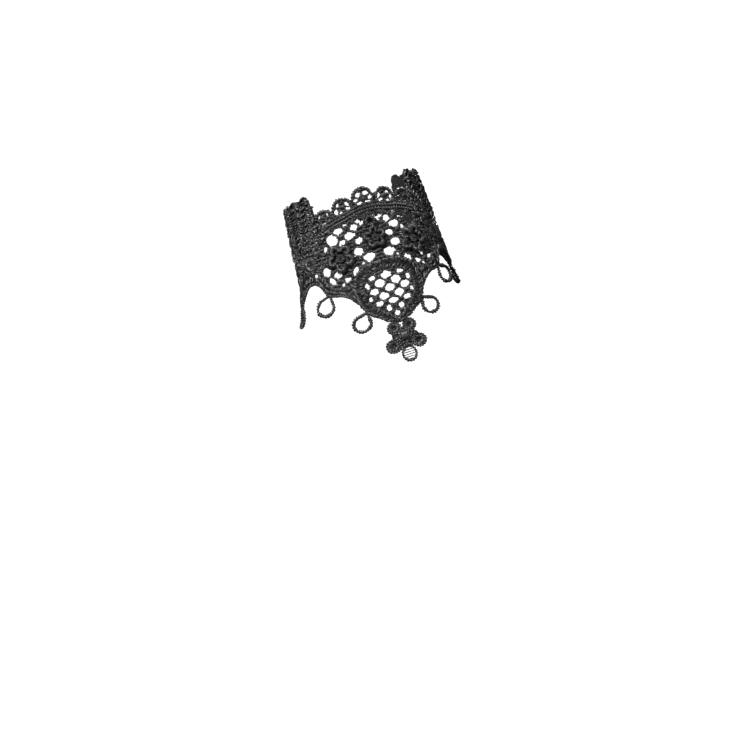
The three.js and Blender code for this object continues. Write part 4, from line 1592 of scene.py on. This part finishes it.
@dataclass
class Studio:
    """The pale room, the soft lights and the camera at the photograph's angle."""

    azimuth: float = -10.5
    roll: float = 16.4
    lens: float = 180.0
    sensor: float = 36.0
    picture_width: float = 750.0
    pixels_per_mm: float = 2.6
    # Where the origin shows in the picture, from its middle, in pixels.
    origin_right: float = -7.4
    origin_up: float = 126.8
    # Depth in front of the origin at which the picture has that scale.
    front: float = 16.0
    floor: float = -0.42

    def camera(self) -> None:
        """Sets the camera at the photograph's viewing angle."""
        azimuth, roll = math.radians(self.azimuth), math.radians(self.roll)
        back = Vector((math.sin(azimuth), -math.cos(azimuth), 0))
        level = Vector((math.cos(azimuth), math.sin(azimuth), 0))
        upright = Vector((0, 0, 1))
        right = level * math.cos(roll) - upright * math.sin(roll)
        up = level * math.sin(roll) + upright * math.cos(roll)
        scale = MM / self.pixels_per_mm
        middle = right * (-self.origin_right * scale) - up * (self.origin_up * scale)
        distance = self.picture_width * scale / self.sensor * self.lens + self.front * MM
        data = bpy.data.cameras.new("camera")
        data.lens = self.lens
        data.sensor_width = self.sensor
        camera = bpy.data.objects.new("camera", data)
        place = Matrix((right, up, back)).transposed().to_4x4()
        place.translation = middle + back * distance
        camera.matrix_world = place
        bpy.context.scene.collection.objects.link(camera)
        bpy.context.scene.camera = camera

    def room(self) -> None:
        """Makes the seamless pale floor, turned up into a wall all round."""
        shell = bmesh.new()
        profile = [(0.0, 0.0), (1.6, 0.0), (2.1, 0.08), (2.45, 0.35), (2.6, 0.8), (2.65, 3.0)]
        verts = [shell.verts.new((x, 0, z + self.floor)) for x, z in profile]
        edges = [shell.edges.new(pair) for pair in zip(verts, verts[1:])]
        bmesh.ops.spin(
            shell,
            geom=[*verts, *edges],
            cent=(0, 0, 0),
            axis=(0, 0, 1),
            angle=2 * math.pi,
            steps=64,
            use_merge=True,
        )
        bmesh.ops.remove_doubles(shell, verts=shell.verts, dist=1e-5)
        bmesh.ops.recalc_face_normals(shell, faces=shell.faces)
        mesh = bpy.data.meshes.new("room")
        shell.to_mesh(mesh)
        shell.free()
        mesh.shade_smooth()
        paper = bpy.data.materials.new("pale_paper")
        paper.use_nodes = True
        shader = paper.node_tree.nodes["Principled BSDF"]
        shader.inputs["Base Color"].default_value = (0.86, 0.855, 0.845, 1)
        shader.inputs["Roughness"].default_value = 0.9
        shader.inputs["Emission Color"].default_value = (1, 0.995, 0.985, 1)
        shader.inputs["Emission Strength"].default_value = 0.7
        mesh.materials.append(paper)
        room = bpy.data.objects.new("room", mesh)
        bpy.context.scene.collection.objects.link(room)
        # The paper is a background alone: it neither lights the black thread nor shows in its gloss.
        room.visible_glossy = False
        room.visible_diffuse = False
        room.visible_shadow = False

    def lights(self) -> None:
        """Hangs a large soft light at the upper left, a weaker one at the right, and fills the room."""
        for name, place, size, power in (
            ("key", (-0.6, -0.8, 0.85), 0.26, 62.0),
            ("fill", (0.95, -0.9, 0.15), 0.4, 9.0),
            ("behind", (0.45, 1.0, 0.75), 0.35, 42.0),
        ):
            data = bpy.data.lights.new(name, "AREA")
            data.size = size
            data.energy = power
            light = bpy.data.objects.new(name, data)
            light.location = place
            light.rotation_euler = (-Vector(place)).to_track_quat("-Z", "Y").to_euler()
            bpy.context.scene.collection.objects.link(light)
        world = bpy.data.worlds.new("soft_room")
        world.use_nodes = True
        world.node_tree.nodes["Background"].inputs["Color"].default_value = (1, 1, 1, 1)
        world.node_tree.nodes["Background"].inputs["Strength"].default_value = 0.13
        bpy.context.scene.world = world
        bpy.context.scene.view_settings.view_transform = "Standard"

    def build(self) -> None:
        """Sets the camera, the room and the lights."""
        self.camera()
        self.room()
        self.lights()
        log.info("studio: camera, room and three lights")


def main() -> None:
    """Builds the cuff piece by piece."""
    logging.basicConfig(level=logging.INFO, format="%(message)s")
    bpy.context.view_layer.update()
    wrist = Wrist()
    Studio().build()
    pieces = [
        ScallopEdging(wrist, "scallop_edging", NET_YARN, 1),
        HeadingCord(wrist, "heading_cord", CORD_YARN, 2),
        GroundNet(wrist, "front_net", NET_YARN, 3),
        FanNet(wrist, "fan_net", NET_YARN, 4),
        FanBorder(wrist, "fan_border", CORD_YARN, 5),
        LowerBorder(wrist, "lower_border_right", CORD_YARN, 6, side=Side.RIGHT),
        LowerBorder(wrist, "lower_border_left", CORD_YARN, 7, side=Side.LEFT),
        Palmette(wrist, "palmette_right", SATIN_YARN, 8, side=Side.RIGHT),
        Palmette(wrist, "palmette_left", SATIN_YARN, 9, side=Side.LEFT),
        PendantFlower(wrist, "pendant_flower", SATIN_YARN, 10),
        Rosette(wrist, "rosette_middle", SATIN_YARN, 11),
        Rosette(wrist, "rosette_right", SATIN_YARN, 12, along=15.1, up=-0.9, reach=5.9, turn=63),
        Rosette(wrist, "rosette_left", SATIN_YARN, 13, along=-15.1, up=-0.9, reach=5.9, turn=117),
        BackBand(wrist, "back_band_right", NET_YARN, 14, side=Side.RIGHT),
        BackBand(wrist, "back_band_left", NET_YARN, 15, side=Side.LEFT),
        Clasp(wrist),
    ]
    for piece in pieces:
        piece.build()


if __name__ == "__main__":
    main()
